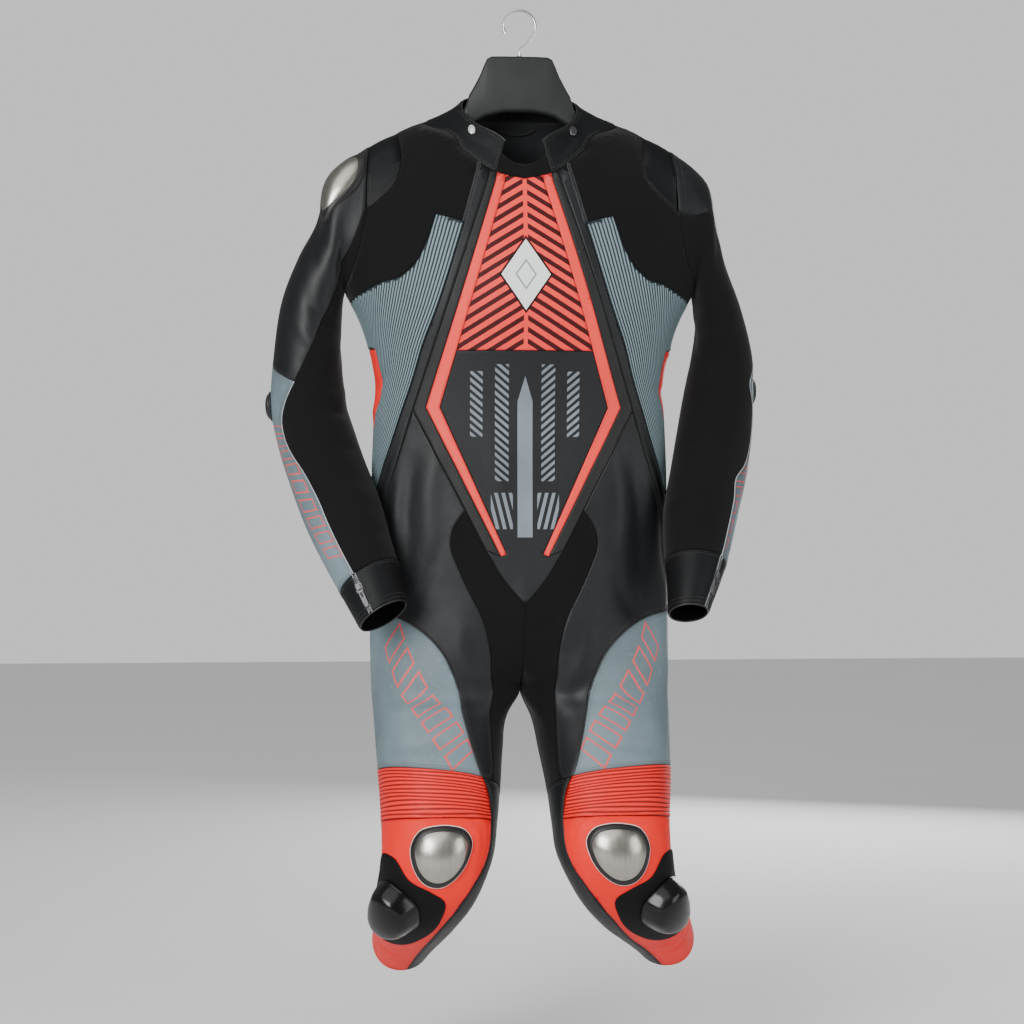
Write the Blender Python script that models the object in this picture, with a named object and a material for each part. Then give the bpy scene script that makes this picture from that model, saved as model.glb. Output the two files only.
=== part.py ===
"""A one-piece leather motorcycle race suit hanging on a broad plastic hanger.

The front faces -Y, the wearer's right side is -X, and the origin is the inside top of the
hanger's hook.  Lengths in the tables are millimetres and are scaled to metres once, in MM.

Body and sleeves are smooth surfaces worked out from short tables of sections.  Every sewn
piece is a region of one of these surfaces between named seams, meshed and given a wall.
"""
import math

import bpy
import numpy as np
from mathutils import Vector
from mathutils.geometry import delaunay_2d_cdt

MM = 0.001
WALL = 2.4 * MM                 # leather or stretch cloth, as one wall
SEAM_GAP = 0.3 * MM             # between two sewn pieces
LIFT = 0.45 * MM                # between a panel and what lies on it
STEP = 30 * MM                  # mesh size of a plain panel, across the body
ALONG = 0.6                     # meshes are this much finer across the body than along it
SQUARE = 0.94                   # below 1 the body's sections are a little squared
SIDES = {"r": -1.0, "l": 1.0}

# Body sections.  Above the crotch a section is level and open at the centre plane, below it
# is one leg's closed ring.  "turn" is half the angle that a half-body section spans.
TORSO_COLUMNS = ("z", "x_out", "front", "back", "turn")
TORSO = (
    (-150, 112, 40, 62, 90),
    (-155, 118, 42, 63, 90),
    (-161, 126, 44, 65, 90),
    (-175, 163, 49, 69, 90),
    (-190, 194, 55, 73, 90),
    (-206, 226, 61, 77, 90),
    (-232, 263, 71, 83, 90),
    (-260, 288, 81, 88, 90),
    (-300, 301, 91, 92, 90),
    (-345, 300, 100, 93, 90),
    (-385, 283, 105, 91, 90),
    (-423, 262, 107, 88, 90),
    (-460, 242, 106, 83, 90),
    (-510, 225, 99, 75, 90),
    (-555, 217, 93, 69, 90),
    (-610, 218, 88, 68, 90),
    (-690, 221, 88, 78, 90),
    (-780, 223, 90, 97, 90),
    (-860, 224, 90, 107, 90),
    (-910, 224, 89, 108, 98),
    (-950, 224, 87, 105, 116),
    (-985, 223, 86, 100, 142),
    (-1014, 222, 85, 96, 180),
)
LEG_COLUMNS = ("z", "y", "tilt", "front", "back", "in_r", "out_r", "in_l", "out_l")
LEG = (
    (-1055, -20, 12, 83, 88, 22, 219, 16, 221),
    (-1100, -50, 22, 80, 83, 30, 216, 24, 219),
    (-1150, -84, 27, 78, 78, 36, 212, 32, 214),
    (-1200, -108, 18, 77, 76, 42, 210, 37, 209),
    (-1245, -118, -4, 76, 72, 49, 210, 43, 210),
    (-1288, -104, -30, 70, 66, 66, 214, 66, 218),
    (-1322, -66, -50, 61, 58, 86, 219, 97, 231),
    (-1350, -20, -56, 55, 53, 101, 220, 128, 249),
    (-1376, 22, -57, 51, 50, 117, 219, 157, 264),
    (-1402, 62, -57, 48, 48, 132, 219, 184, 275),
)

# The neck seam and the collar's upper edge, by the angle round the neck from the front.
COLLAR_COLUMNS = ("angle", "base_x", "base_z", "top_x", "top_y", "top_z")
COLLAR = (
    (0, 0, -262, 0, -74, -240),
    (20, 44, -251, 30, -68, -202),
    (45, 90, -217, 68, -44, -176),
    (68, 114, -188, 84, -16, -155),
    (90, 124, -163, 87, 10, -137),
    (135, 84, -153, 66, 45, -121),
    (180, 0, -151, 0, 60, -113),
)

# Sleeve sections, shoulder to cuff: the outer and inner points of each ring seen from the
# front, its depth behind or before the hook, and half its thickness front to back.
SLEEVE_COLUMNS = ("out_x", "out_z", "in_x", "in_z", "y", "half")
SLEEVES = {
    "r": (
        (262, -231, 262, -427, 2, 62),
        (288, -262, 263, -432, 2, 62),
        (304, -322, 264, -440, 2, 60),
        (331, -374, 265, -455, 2, 58),
        (356, -442, 266, -490, 3, 57),
        (368, -530, 264, -545, 4, 56),
        (371, -592, 258, -592, 4, 57),
        (362, -645, 246, -632, -4, 58),
        (345, -702, 232, -674, -24, 57),
        (318, -774, 211, -730, -62, 53),
        (290, -830, 197, -784, -96, 47),
        (262, -880, 184, -832, -122, 41),
        (241, -917, 174, -878, -142, 36),
    ),
    "l": (
        (262, -231, 262, -422, 2, 62),
        (287, -262, 263, -427, 2, 62),
        (298, -322, 264, -435, 2, 60),
        (309, -374, 266, -450, 2, 57),
        (335, -442, 267, -478, 3, 56),
        (352, -510, 261, -520, 4, 56),
        (355, -572, 250, -570, 4, 57),
        (351, -632, 239, -622, -6, 58),
        (340, -692, 224, -686, -30, 57),
        (321, -748, 208, -746, -66, 52),
        (298, -815, 203, -806, -104, 45),
        (279, -858, 203, -850, -130, 39),
        (260, -896, 201, -894, -150, 34),
    ),
}
ARMHOLE_COLUMNS = ("x", "z")
ARMHOLE = ((226, -206), (230, -262), (233, -320), (243, -378), (262, -423))


def column(columns, rows, name):
    """One named column of a table, in metres, or as it stands for an angle."""
    scale = 1.0 if name in ("turn", "tilt", "angle") else MM
    return np.array([row[columns.index(name)] for row in rows], float) * scale


def smooth(keys, values, at):
    """Cubic through (keys, values) with slopes from the neighbouring rows."""
    at = np.clip(np.asarray(at, float), keys[0], keys[-1])
    slopes = np.gradient(values, keys)
    i = np.clip(np.searchsorted(keys, at) - 1, 0, len(keys) - 2)
    gap = keys[i + 1] - keys[i]
    u = (at - keys[i]) / gap
    return (
        values[i] * (1 + 2 * u) * (1 - u) ** 2
        + values[i + 1] * u * u * (3 - 2 * u)
        + slopes[i] * gap * u * (1 - u) ** 2
        - slopes[i + 1] * gap * u * u * (1 - u)
    )


def signed_power(value, power=SQUARE):
    return np.sign(value) * np.abs(value) ** power


class Surface:
    """A smooth surface of two parameters, with its outward normal by differences."""

    flip = 1.0
    nudge = (0.004, 0.001)
    scale = (1.0, 1.0)          # metres on the cloth for one step of each parameter

    def point(self, a, b):
        raise NotImplementedError

    def flat(self, at):
        """Parameters laid out nearly true to scale, shortened along the cloth's length."""
        return at * np.array([self.scale[0], self.scale[1] * ALONG])

    def unflat(self, flat):
        return flat / np.array([self.scale[0], self.scale[1] * ALONG])

    def normal(self, a, b):
        da, db = self.nudge
        along_a = self.point(a + da, b) - self.point(a - da, b)
        along_b = self.point(a, b + db) - self.point(a, b - db)
        across = np.cross(along_b, along_a) * self.flip
        return across / np.maximum(np.linalg.norm(across, axis=1), 1e-12)[:, None]


class Body(Surface):
    """Torso and legs: a is 0 at the front, 1 or -1 at a side and 2 at the back, t runs down."""

    def __init__(self, legs=False, about=0.0):
        self.legs = legs
        self.about = about
        torso = {name: column(TORSO_COLUMNS, TORSO, name) for name in TORSO_COLUMNS}
        leg = {name: column(LEG_COLUMNS, LEG, name) for name in LEG_COLUMNS}
        still = np.zeros(len(TORSO))
        rows = {"z": np.append(torso["z"], leg["z"]), "y": np.append(still, leg["y"])}
        rows["tilt"] = np.append(still, leg["tilt"])
        rows["turn"] = np.append(torso["turn"], np.full(len(LEG), 180.0))
        for name in ("front", "back"):
            rows[name] = np.append(torso[name], leg[name])
        for side in SIDES:
            rows["out_" + side] = np.append(torso["x_out"], leg["out_" + side])
            rows["in_" + side] = np.append(still, leg["in_" + side])
        lengths = np.hypot(np.diff(rows["z"]), np.diff(rows["y"]))
        self.t = -rows["z"][0] + np.append(0.0, np.cumsum(lengths))
        self.rows = rows
        self.girth = []
        for t in self.t:
            ring = self.point(np.linspace(0.001, 1.999, 60), np.full(60, t))
            self.girth.append(np.linalg.norm(np.diff(ring, axis=0), axis=1).sum() / 2)

    def row(self, name, t):
        return smooth(self.t, self.rows[name], t)

    def flat(self, at):
        girth = np.interp(at[:, 1], self.t, self.girth)
        return np.stack([(at[:, 0] - self.about) * girth, at[:, 1] * ALONG], axis=1)

    def unflat(self, flat):
        t = flat[:, 1] / ALONG
        return np.stack([flat[:, 0] / np.interp(t, self.t, self.girth) + self.about, t], axis=1)

    def section(self, right, t):
        """Half width, centre x and half angle of the section at t, on the right or left."""
        outer = np.where(right, self.row("out_r", t), self.row("out_l", t))
        inner = np.where(right, self.row("in_r", t), self.row("in_l", t))
        inner = np.where(t < self.t[len(TORSO) - 1], 0.0, inner)
        turn = np.radians(np.clip(self.row("turn", t), 90.0, 180.0))
        width = (outer - inner) / (1.0 - signed_power(np.cos(turn)))
        return width, outer - width, turn

    def point(self, a, b):
        a, t = np.asarray(a, float), np.asarray(b, float)
        if self.legs:
            a = np.sign(a) * np.mod(np.abs(a), 2.0)
        else:
            a = np.mod(a + 2.0, 4.0) - 2.0
        right = a < 0
        width, middle, turn = self.section(right, t)
        angle = (np.abs(a) - 1.0) * turn
        across = middle + width * signed_power(np.cos(angle))
        depth = np.where(angle < 0, self.row("front", t), self.row("back", t))
        behind = depth * signed_power(np.sin(angle))
        tilt = np.radians(self.row("tilt", t))
        x = np.where(right, -across, across)
        y = self.row("y", t) + behind * np.cos(tilt)
        z = self.row("z", t) - behind * np.sin(tilt)
        return np.stack([x, y, z], axis=1)

    def seen_at(self, x, z):
        """The (a, t) of the front point that has this x (0 or more) and z."""
        x, z = np.atleast_1d(x).astype(float), np.atleast_1d(z).astype(float)
        t = np.interp(-z, -self.rows["z"], self.t)
        for _ in range(12):
            width, middle, turn = self.section(np.zeros(len(t), bool), t)
            reach = np.clip((x - middle) / width, -1.0, 1.0)
            angle = np.arccos(np.clip(signed_power(reach, 1 / SQUARE), -1.0, 1.0))
            a = 1.0 - angle / turn
            t = t + (self.point(a, t)[:, 2] - z) * 0.9
        return a, t


BODY = Body()
BACK = Body(about=2.0)
CROTCH = BODY.t[len(TORSO) - 1]
HEM = BODY.t[-1]


class Sleeve(Surface):
    """u is 0 at the shoulder, 1 at the front, 2 at the armpit, 3 at the back; v counts rings."""

    nudge = (0.01, 0.02)
    scale = (0.085, 0.055)

    def __init__(self, side):
        self.sign = SIDES[side]
        self.flip = -self.sign
        rows = {name: column(SLEEVE_COLUMNS, SLEEVES[side], name) for name in SLEEVE_COLUMNS}
        outer = np.stack([rows["out_x"], rows["y"], rows["out_z"]], axis=1)
        inner = np.stack([rows["in_x"], rows["y"], rows["in_z"]], axis=1)
        self.middle = (outer + inner) / 2
        self.across = (outer - inner) / 2
        along = np.gradient(self.middle, axis=0)
        front = np.cross(self.across, along)
        front /= np.linalg.norm(front, axis=1)[:, None]
        front *= -np.sign(front[:, 1])[:, None]
        self.front = front * rows["half"][:, None]
        self.last = float(len(self.middle))

    def armhole(self, u):
        """Body parameters (a, t) of the armhole, for u in quarter turns; a is 0 or more."""
        turn = np.asarray(u, float) * math.pi / 2
        x = column(ARMHOLE_COLUMNS, ARMHOLE, "x")
        z = column(ARMHOLE_COLUMNS, ARMHOLE, "z")
        height = z[0] + (z[-1] - z[0]) * (1 - np.cos(turn)) / 2
        t = -height
        width, middle, _ = BODY.section(np.zeros(len(t), bool), t)
        reach = np.clip((smooth(-z, x, t) - middle) / width, 0.0, 1.0)
        quarter = np.arcsin(signed_power(reach, 1 / SQUARE)) / (math.pi / 2)
        return np.where(np.sin(turn) >= 0, quarter, 2.0 - quarter), t

    def ring(self, k, u):
        turn = u * math.pi / 2
        i = np.clip(k - 1, 0, len(self.middle) - 1)
        loop = (
            self.middle[i]
            + self.across[i] * np.cos(turn)[:, None]
            + self.front[i] * np.sin(turn)[:, None]
        )
        a, t = self.armhole(u)
        return np.where((k <= 0)[:, None], BODY.point(a, t), loop)

    def point(self, a, b):
        u, v = np.asarray(a, float), np.clip(np.asarray(b, float), 0.0, self.last)
        k = np.minimum(v.astype(int), int(self.last) - 1)
        f = (v - k)[:, None]
        p1, p2 = self.ring(k, u), self.ring(k + 1, u)
        before = np.where((k > 0)[:, None], self.ring(k - 1, u), 2 * p1 - p2)
        end = (k + 2 > self.last)[:, None]
        after = np.where(end, 2 * p2 - p1, self.ring(np.minimum(k + 2, int(self.last)), u))
        place = p1 + 0.5 * f * (
            p2 - before
            + f * (2 * before - 5 * p1 + 4 * p2 - after + f * (3 * (p1 - p2) + after - before))
        )
        return place * np.array([self.sign, 1.0, 1.0])


class Collar(Surface):
    """a is the angle round the neck in degrees, 0 at the front; b is 0 at the seam, 1 on top."""

    nudge = (0.5, 0.01)
    scale = (0.0023, 0.045)
    flip = -1.0

    def __init__(self):
        rows = {name: column(COLLAR_COLUMNS, COLLAR, name) for name in COLLAR_COLUMNS}
        t = -rows["base_z"]
        width, middle, _ = BODY.section(np.zeros(len(t), bool), t)
        reach = np.clip((rows["base_x"] - middle) / width, 0.0, 1.0)
        reach[rows["angle"] == 90] = 1.0
        quarter = np.arcsin(signed_power(reach, 1 / SQUARE)) / (math.pi / 2)
        self.a = np.where(rows["angle"] > 90, 2.0 - quarter, quarter)
        self.t = t
        self.rows = rows

    def seam(self, angle):
        """Body parameters (a, t) of the neck seam at these angles."""
        turned = np.mod(np.asarray(angle, float) + 180.0, 360.0) - 180.0
        size = np.abs(turned)
        a = smooth(self.rows["angle"], self.a, size)
        return np.where(turned < 0, -a, a), smooth(self.rows["angle"], self.t, size)

    def point(self, a, b):
        turned = np.mod(np.asarray(a, float) + 180.0, 360.0) - 180.0
        size = np.abs(turned)
        sign = np.where(turned < 0, -1.0, 1.0)
        base = BODY.point(*self.seam(turned))
        keys = self.rows["angle"]
        top = np.stack(
            [
                smooth(keys, self.rows["top_x"], size) * sign,
                smooth(keys, self.rows["top_y"], size),
                smooth(keys, self.rows["top_z"], size),
            ],
            axis=1,
        )
        return base + (top - base) * np.asarray(b, float)[:, None]


SLEEVE = {side: Sleeve(side) for side in SIDES}
COLLAR_BAND = Collar()

# Seams as seen from the front: x out from the centre and z, in millimetres, on both sides.
FRONT_SEAMS = {
    "kite_in": ((27, -261), (124, -597), (27, -812)),
    "band_out": ((40, -258), (144, -597), (35, -815)),
    "border_upper": ((51, -254), (163, -600)),
    "border_lower": ((163, -600), (87, -747), (64, -795), (0, -886)),
    "zip_upper": ((66, -243), (89, -327)),
    "zip_lower": ((89, -327), (131, -459), (147, -501), (164, -559), (178, -600), (192, -643),
                  (208, -691), (217, -725)),
    "zip_inner": ((163, -600), (174, -636), (184, -669), (197, -710), (212, -768)),
    "rib_slant": ((89, -327), (130, -315)),
    "rib_curve": ((130, -315), (146, -361), (163, -391), (184, -408), (210, -415), (238, -429)),
    "kite_split": ((104, -515), (0, -515)),
    "shoulder_front": ((184, -190), (179, -235), (187, -266), (207, -288), (229, -306)),
    "thigh_front": ((221, -897), (188, -903), (143, -930), (119, -957), (103, -990), (90, -1034),
                    (79, -1079), (71, -1108), (64, -1128)),
    "groin_out": ((87, -747), (106, -779), (108, -802), (100, -825), (86, -857), (74, -881),
                  (62, -906), (52, -944), (47, -996), (45, -1054), (45, -1122)),
}

# Seams in body parameters (a in quarter turns from the front, t in metres down).
BACK_EDGE = 1.32
KNEE_RIBS_END = 1.232
BODY_SEAMS = {
    "side": ((1.15, 0.508), (0.83, 0.510)),
    "side_red_front": ((0.83, 0.510), (0.82, 0.535), (0.82, 0.570), (0.88, 0.600), (0.97, 0.630)),
    "side_red_back": ((1.15, 0.508), (1.14, 0.560), (1.06, 0.605), (0.97, 0.630)),
    "side_low": ((0.97, 0.630), (0.98, 0.660), (0.96, 0.690)),
    "side_tip": ((0.96, 0.690), (0.87, 0.725)),
    "zip_end": ((0.87, 0.725), (0.93, 0.752), (0.99, 0.775)),
    "zip_cap": ((0.99, 0.775), (0.97, 0.790)),
    "waist": ((0.96, 0.690), (1.30, 0.700), (2.00, 0.700)),
    "hip_side": ((0.97, 0.790), (1.02, 0.840), (1.04, 0.893)),
    "seat_edge": ((BACK_EDGE, 0.955), (1.60, 0.990), (2.00, CROTCH)),
}
# Knee and calf edges down each leg: the inner edge of the red panels.
KNEE_INNER = ((0.205, 1.205), (0.171, KNEE_RIBS_END), (0.169, 1.256), (0.199, 1.276),
              (0.282, 1.297), (0.358, 1.318), (0.412, 1.345), (0.440, 1.390), (0.450, HEM))

# Sleeve seams: ring number and the angle round the ring in degrees, 0 at the outer edge.
SLEEVE_SEAMS = {
    "r": {
        "front": ((0, 85), (0.4, 106), (1, 120), (3, 127), (4.5, 119), (5.2, 105), (5.85, 86),
                  (6.4, 69)),
        "back": ((0, -85), (1, -92), (3, -98), (6.3, -100)),
        "elbow": ((6.4, 69), (6.2, 35), (6.05, 0), (6.05, -50), (6.3, -100)),
        "forearm_front": ((6.4, 69), (6.65, 62), (7.1, 50), (7.74, 38), (8.2, 37), (8.73, 43),
                          (9.3, 55), (9.9, 63), (10.4, 64), (11.0, 66), (11.75, 70)),
        "forearm_back": ((6.3, -100), (8.5, -98), (11.75, -90)),
        "cuff": 11.75,
    },
    "l": {
        "front": ((0, 85), (0.8, 82), (1.6, 70), (3, 40), (4, 20), (5.85, 12), (6.4, 22)),
        "back": ((0, -85), (1, -96), (3, -135), (4.5, -160), (5.6, -150), (6.3, -130)),
        "elbow": ((6.4, 22), (6.2, 0), (6.1, -50), (6.3, -130)),
        "forearm_front": ((6.4, 22), (6.75, 38), (7.3, 26), (8.3, 24), (9.0, 32), (9.55, 47),
                          (10.0, 40), (10.7, 42), (11.3, 44)),
        "forearm_back": ((6.3, -130), (8.5, -125), (11.3, -120)),
        "cuff": 11.3,
    },
}


def resample(points, step, surface):
    """Points at about this spacing along a polyline of a surface's parameters."""
    places = surface.flat(points)
    length = np.append(0.0, np.cumsum(np.linalg.norm(np.diff(places, axis=0), axis=1)))
    count = max(1, int(round(length[-1] / step)))
    at = np.linspace(0.0, length[-1], count + 1)
    return np.stack([np.interp(at, length, points[:, i]) for i in range(2)], axis=1)


def rounded(points, count=60):
    """A smooth curve through these points."""
    points = np.array(points, float)
    keys = np.append(0.0, np.cumsum(np.linalg.norm(np.diff(points, axis=0), axis=1)))
    at = np.linspace(0.0, keys[-1], count)
    return np.stack([smooth(keys, points[:, i], at) for i in range(2)], axis=1)


class Half(Body):
    """One side of the body: a runs from 0 at the front past 2, where a leg closes on itself."""

    def __init__(self, side):
        self.sign = SIDES[side]
        self.flip = self.sign
        super().__init__(about=1.0)

    def point(self, a, b):
        a, t = np.asarray(a, float), np.asarray(b, float)
        a = np.where(t < self.t[len(TORSO) - 1], np.clip(a, 0.0, 2.0), np.mod(a, 2.0))
        return super().point(self.sign * np.maximum(a, 1e-9), t)


HALF = {side: Half(side) for side in SIDES}


def seam(points, surface, step=STEP, normals=None):
    """Rows of (a, b, wall direction) along a seam; a direction is shared where two cloths meet."""
    at = resample(points, step, surface)
    if normals is None:
        return np.hstack([at, np.full((len(at), 3), np.nan)])
    return np.hstack([at, normals(at)])


def front_seam(points, is_round=False, first=None, last=None):
    """A seam given by x and z, as body parameters."""
    points = np.array(points, float) * MM
    runs = [rounded(points)] if is_round else [
        np.linspace(points[i], points[i + 1], 40) for i in range(len(points) - 1)
    ]
    for i, run in enumerate(runs):
        runs[i] = np.stack(BODY.seen_at(run[:, 0], run[:, 1]), axis=1)
    if first is not None:
        runs[0][0] = first
    if last is not None:
        runs[-1][-1] = last
    rows = [seam(run, BODY) for run in runs]
    return np.vstack([row[:-1] for row in rows] + [rows[-1][-1:]])


def body_seam(points):
    fine = rounded(points) if len(points) > 2 else np.linspace(points[0], points[1], 30)
    return seam(fine, BODY)


def chain(*pieces):
    """Join seams end to end into one closed loop, turning each to fit the one before."""
    loop = pieces[0]
    ends = pieces[1][[0, -1], :2]
    if min(np.hypot(*(ends - loop[0, :2]).T)) < min(np.hypot(*(ends - loop[-1, :2]).T)) - 1e-9:
        loop = loop[::-1]
    for piece in pieces[1:]:
        ends = np.hypot(*(piece[[0, -1], :2] - loop[-1, :2]).T)
        if ends[1] < ends[0]:
            piece = piece[::-1]
        if min(ends) > 1e-6:
            raise ValueError("seams do not meet: %s %s" % (loop[-1, :2], piece[0, :2]))
        loop = np.vstack([loop[:-1], piece] if np.isnan(loop[-1, 2]) else [loop, piece[1:]])
    return loop[:-1] if not np.isnan(loop[0, 2]) else loop[1:]


# Where seams meet, in body parameters.
NECK_STOPS = {"kite_in": 12.0, "band_out": 18.0, "border_upper": 23.0, "zip_upper": 31.0}
SHOULDER_TOP = (1.0, 0.186)
ARMHOLE_SPLIT = 85.0 / 90.0
ARMPIT_LOW = (1.0, 0.440)
RIB_BACK = (1.15, 0.440)
KNEE_CORNER = (0.271, 1.181)
GROIN_CORNER = (0.190, 1.182)
KNEE_BACK_TOP = (BACK_EDGE, 1.125)
RIBS_BACK = (BACK_EDGE, 1.212)
THIGH_BACK_TOP = (BACK_EDGE, 0.885)
HIP_CORNER = (1.04, 0.893)
KITE_SPLIT = (100.3, -515)
BORDER_END = (57, -806)


def front_at(point):
    a, t = BODY.seen_at(point[0] * MM, point[1] * MM)
    return a[0], t[0]


def neck_at(angle):
    a, t = COLLAR_BAND.seam([angle])
    return a[0], t[0]


def body_seams(side):
    """Every seam of one side of the body, by name, as rows of (a, t, wall direction)."""
    table = FRONT_SEAMS
    stop = {name: neck_at(angle) for name, angle in NECK_STOPS.items()}
    kite, band, low = table["kite_in"], table["band_out"], table["border_lower"]
    corner = table["border_upper"][1]
    tip, cap = BODY_SEAMS["side_tip"][-1], BODY_SEAMS["zip_cap"][-1]
    hole = tuple(np.stack(SLEEVE[side].armhole([ARMHOLE_SPLIT]))[:, 0])
    back_hole = tuple(np.stack(SLEEVE[side].armhole([-ARMHOLE_SPLIT]))[:, 0])
    armpit = tuple(np.stack(SLEEVE[side].armhole([2.0]))[:, 0])
    rib_end = front_at(table["rib_curve"][-1])
    vee = (0.0, 0.886)
    seams = {
        "kite_top": front_seam((kite[0], KITE_SPLIT), first=stop["kite_in"]),
        "kite_low": front_seam((KITE_SPLIT, kite[1], kite[2])),
        "kite_split": front_seam((KITE_SPLIT, (0, KITE_SPLIT[1]))),
        "band_out": front_seam(band, first=stop["band_out"]),
        "border_upper": front_seam(table["border_upper"], first=stop["border_upper"]),
        "zip_upper": front_seam(table["zip_upper"], first=stop["zip_upper"]),
        "band_end": front_seam((kite[2], band[2])),
        "border_end": front_seam((band[2], BORDER_END)),
        "border_hip": front_seam((corner, low[1])),
        "border_groin": front_seam((low[1], BORDER_END)),
        "vee": front_seam((BORDER_END, (30, -850), low[3]), True, last=vee),
        "zip_lower": front_seam(table["zip_lower"], True, last=tip),
        "zip_inner": front_seam(table["zip_inner"], True, last=cap),
        "rib_slant": front_seam(table["rib_slant"]),
        "rib_curve": front_seam(table["rib_curve"], True),
        "shoulder_front": front_seam(table["shoulder_front"], True, SHOULDER_TOP, hole),
        "thigh_front": front_seam(table["thigh_front"], True, HIP_CORNER, KNEE_CORNER),
        "groin_out": front_seam(table["groin_out"], True, last=GROIN_CORNER),
    }
    by_parameters = dict(BODY_SEAMS)
    by_parameters.update({
        "ridge": (neck_at(90.0), SHOULDER_TOP),
        "rib_side": (rib_end, ARMPIT_LOW),
        "rib_under": (ARMPIT_LOW, RIB_BACK),
        "rib_back": (RIB_BACK, BODY_SEAMS["side"][0]),
        "armpit": (armpit, ARMPIT_LOW),
        "thigh_top_back": (THIGH_BACK_TOP, HIP_CORNER),
        "thigh_edge_high": (THIGH_BACK_TOP, BODY_SEAMS["seat_edge"][0]),
        "thigh_edge_low": (BODY_SEAMS["seat_edge"][0], KNEE_BACK_TOP),
        "knee_back_high": (KNEE_BACK_TOP, RIBS_BACK),
        "knee_back_low": (RIBS_BACK, (BACK_EDGE, HEM)),
        "hip_hem": (KNEE_CORNER, GROIN_CORNER),
        "groin_hem": (GROIN_CORNER, (0.0, GROIN_CORNER[1])),
        "centre_high": (vee, (0.0, CROTCH)),
        "centre_low": ((0.0, CROTCH), (0.0, GROIN_CORNER[1])),
        "hem_front": (KNEE_INNER[-1], (BACK_EDGE, HEM)),
        "hem_back": ((BACK_EDGE, HEM), (2.0 + KNEE_INNER[-1][0], HEM)),
        "knee_top": (KNEE_CORNER, (0.449, 1.178), (0.605, 1.172), (0.925, 1.151), KNEE_BACK_TOP),
        "ribs_end": (KNEE_INNER[1], (0.6, 1.233), (1.0, 1.226), RIBS_BACK),
        "knee_inner_high": (KNEE_CORNER,) + KNEE_INNER[:2],
        "knee_inner_low": KNEE_INNER[1:],
        "shoulder_back": (SHOULDER_TOP, (1.34, 0.203), (1.46, 0.235), (1.49, 0.270), back_hole),
    })
    for name, points in by_parameters.items():
        seams[name] = body_seam(points)
    armholes = {
        "armhole_top": (ARMHOLE_SPLIT, -ARMHOLE_SPLIT),
        "armhole_front": (ARMHOLE_SPLIT, 2.0),
        "armhole_back": (2.0, 4.0 - ARMHOLE_SPLIT),
    }
    for name, ends in armholes.items():
        seams[name] = armhole_seam(side, *ends)[0]
    stops = sorted(NECK_STOPS.values())
    for name, start, end in zip(("neck_band", "neck_border", "neck_zip", "neck_chest"),
                                stops, stops[1:] + [90.0]):
        seams[name] = neck_seam(start, end, side)[0]
    return seams


def armhole_seam(side, first, last):
    """The same points of an armhole as body rows and as sleeve rows, with one wall direction."""
    sleeve, body = SLEEVE[side], HALF[side]
    count = max(2, int(round(abs(last - first) * 0.155 / STEP)))
    u = np.linspace(first, last, count + 1)
    a, t = sleeve.armhole(u)
    out = body.normal(a, t) + sleeve.normal(u, np.full(len(u), 0.03))
    out /= np.linalg.norm(out, axis=1)[:, None]
    return np.column_stack([a, t, out]), np.column_stack([u, np.zeros(len(u)), out])


def neck_seam(first, last, side="l"):
    """The same points of the neck seam as body rows and as collar rows."""
    count = max(1, int(round(abs(last - first) * 0.0022 / STEP)))
    angle = np.linspace(first, last, count + 1)
    a, t = COLLAR_BAND.seam(angle)
    ring = angle * SIDES[side]
    a_side = a * SIDES[side]
    out = BODY.normal(a_side, t) + COLLAR_BAND.normal(ring, np.full(len(ring), 0.03))
    out /= np.linalg.norm(out, axis=1)[:, None]
    return np.column_stack([a, t, out]), np.column_stack([ring, np.zeros(len(ring)), out])


def other_side(rows, about=0.0):
    """Rows of the right side in the parameters of a piece that crosses the centre."""
    turned = rows.copy()
    turned[:, 0] = 2 * about - rows[:, 0]
    return turned


def inside(points, loop):
    """Which points lie inside a closed loop, by counting crossings."""
    x, y = points[:, 0][:, None], points[:, 1][:, None]
    x0, y0 = loop[:, 0][None], loop[:, 1][None]
    x1, y1 = np.roll(loop[:, 0], -1)[None], np.roll(loop[:, 1], -1)[None]
    crosses = (y0 > y) != (y1 > y)
    at = x0 + (y - y0) * (x1 - x0) / np.where(y1 == y0, 1e-12, y1 - y0)
    return (crosses & (x < at)).sum(axis=1) % 2 == 1


def clearance(points, loop):
    """Distance of each point to the nearest edge of a closed loop."""
    start, along = loop[None], (np.roll(loop, -1, axis=0) - loop)[None]
    reach = points[:, None] - start
    share = (reach * along).sum(axis=2) / np.maximum((along ** 2).sum(axis=2), 1e-16)
    gap = reach - np.clip(share, 0.0, 1.0)[:, :, None] * along
    return np.sqrt((gap ** 2).sum(axis=2)).min(axis=1)


def filling(loop, step, keep_off=()):
    """Evenly spread points inside a loop, clear of its edge and of other points."""
    low, high = loop.min(axis=0), loop.max(axis=0)
    rows = int((high[1] - low[1]) / (step * 0.87)) + 2
    grid = []
    for j in range(rows):
        x = np.arange(low[0] + (j % 2) * step / 2, high[0], step)
        grid.append(np.stack([x, np.full(len(x), low[1] + j * step * 0.87)], axis=1))
    grid = np.vstack(grid)
    grid = grid[inside(grid, loop)]
    if len(grid):
        grid = grid[clearance(grid, loop) > step * 0.52]
    for other in keep_off:
        if len(grid):
            gap = np.sqrt(((grid[:, None] - other[None]) ** 2).sum(axis=2)).min(axis=1)
            grid = grid[gap > step * 0.6]
    return grid


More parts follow.
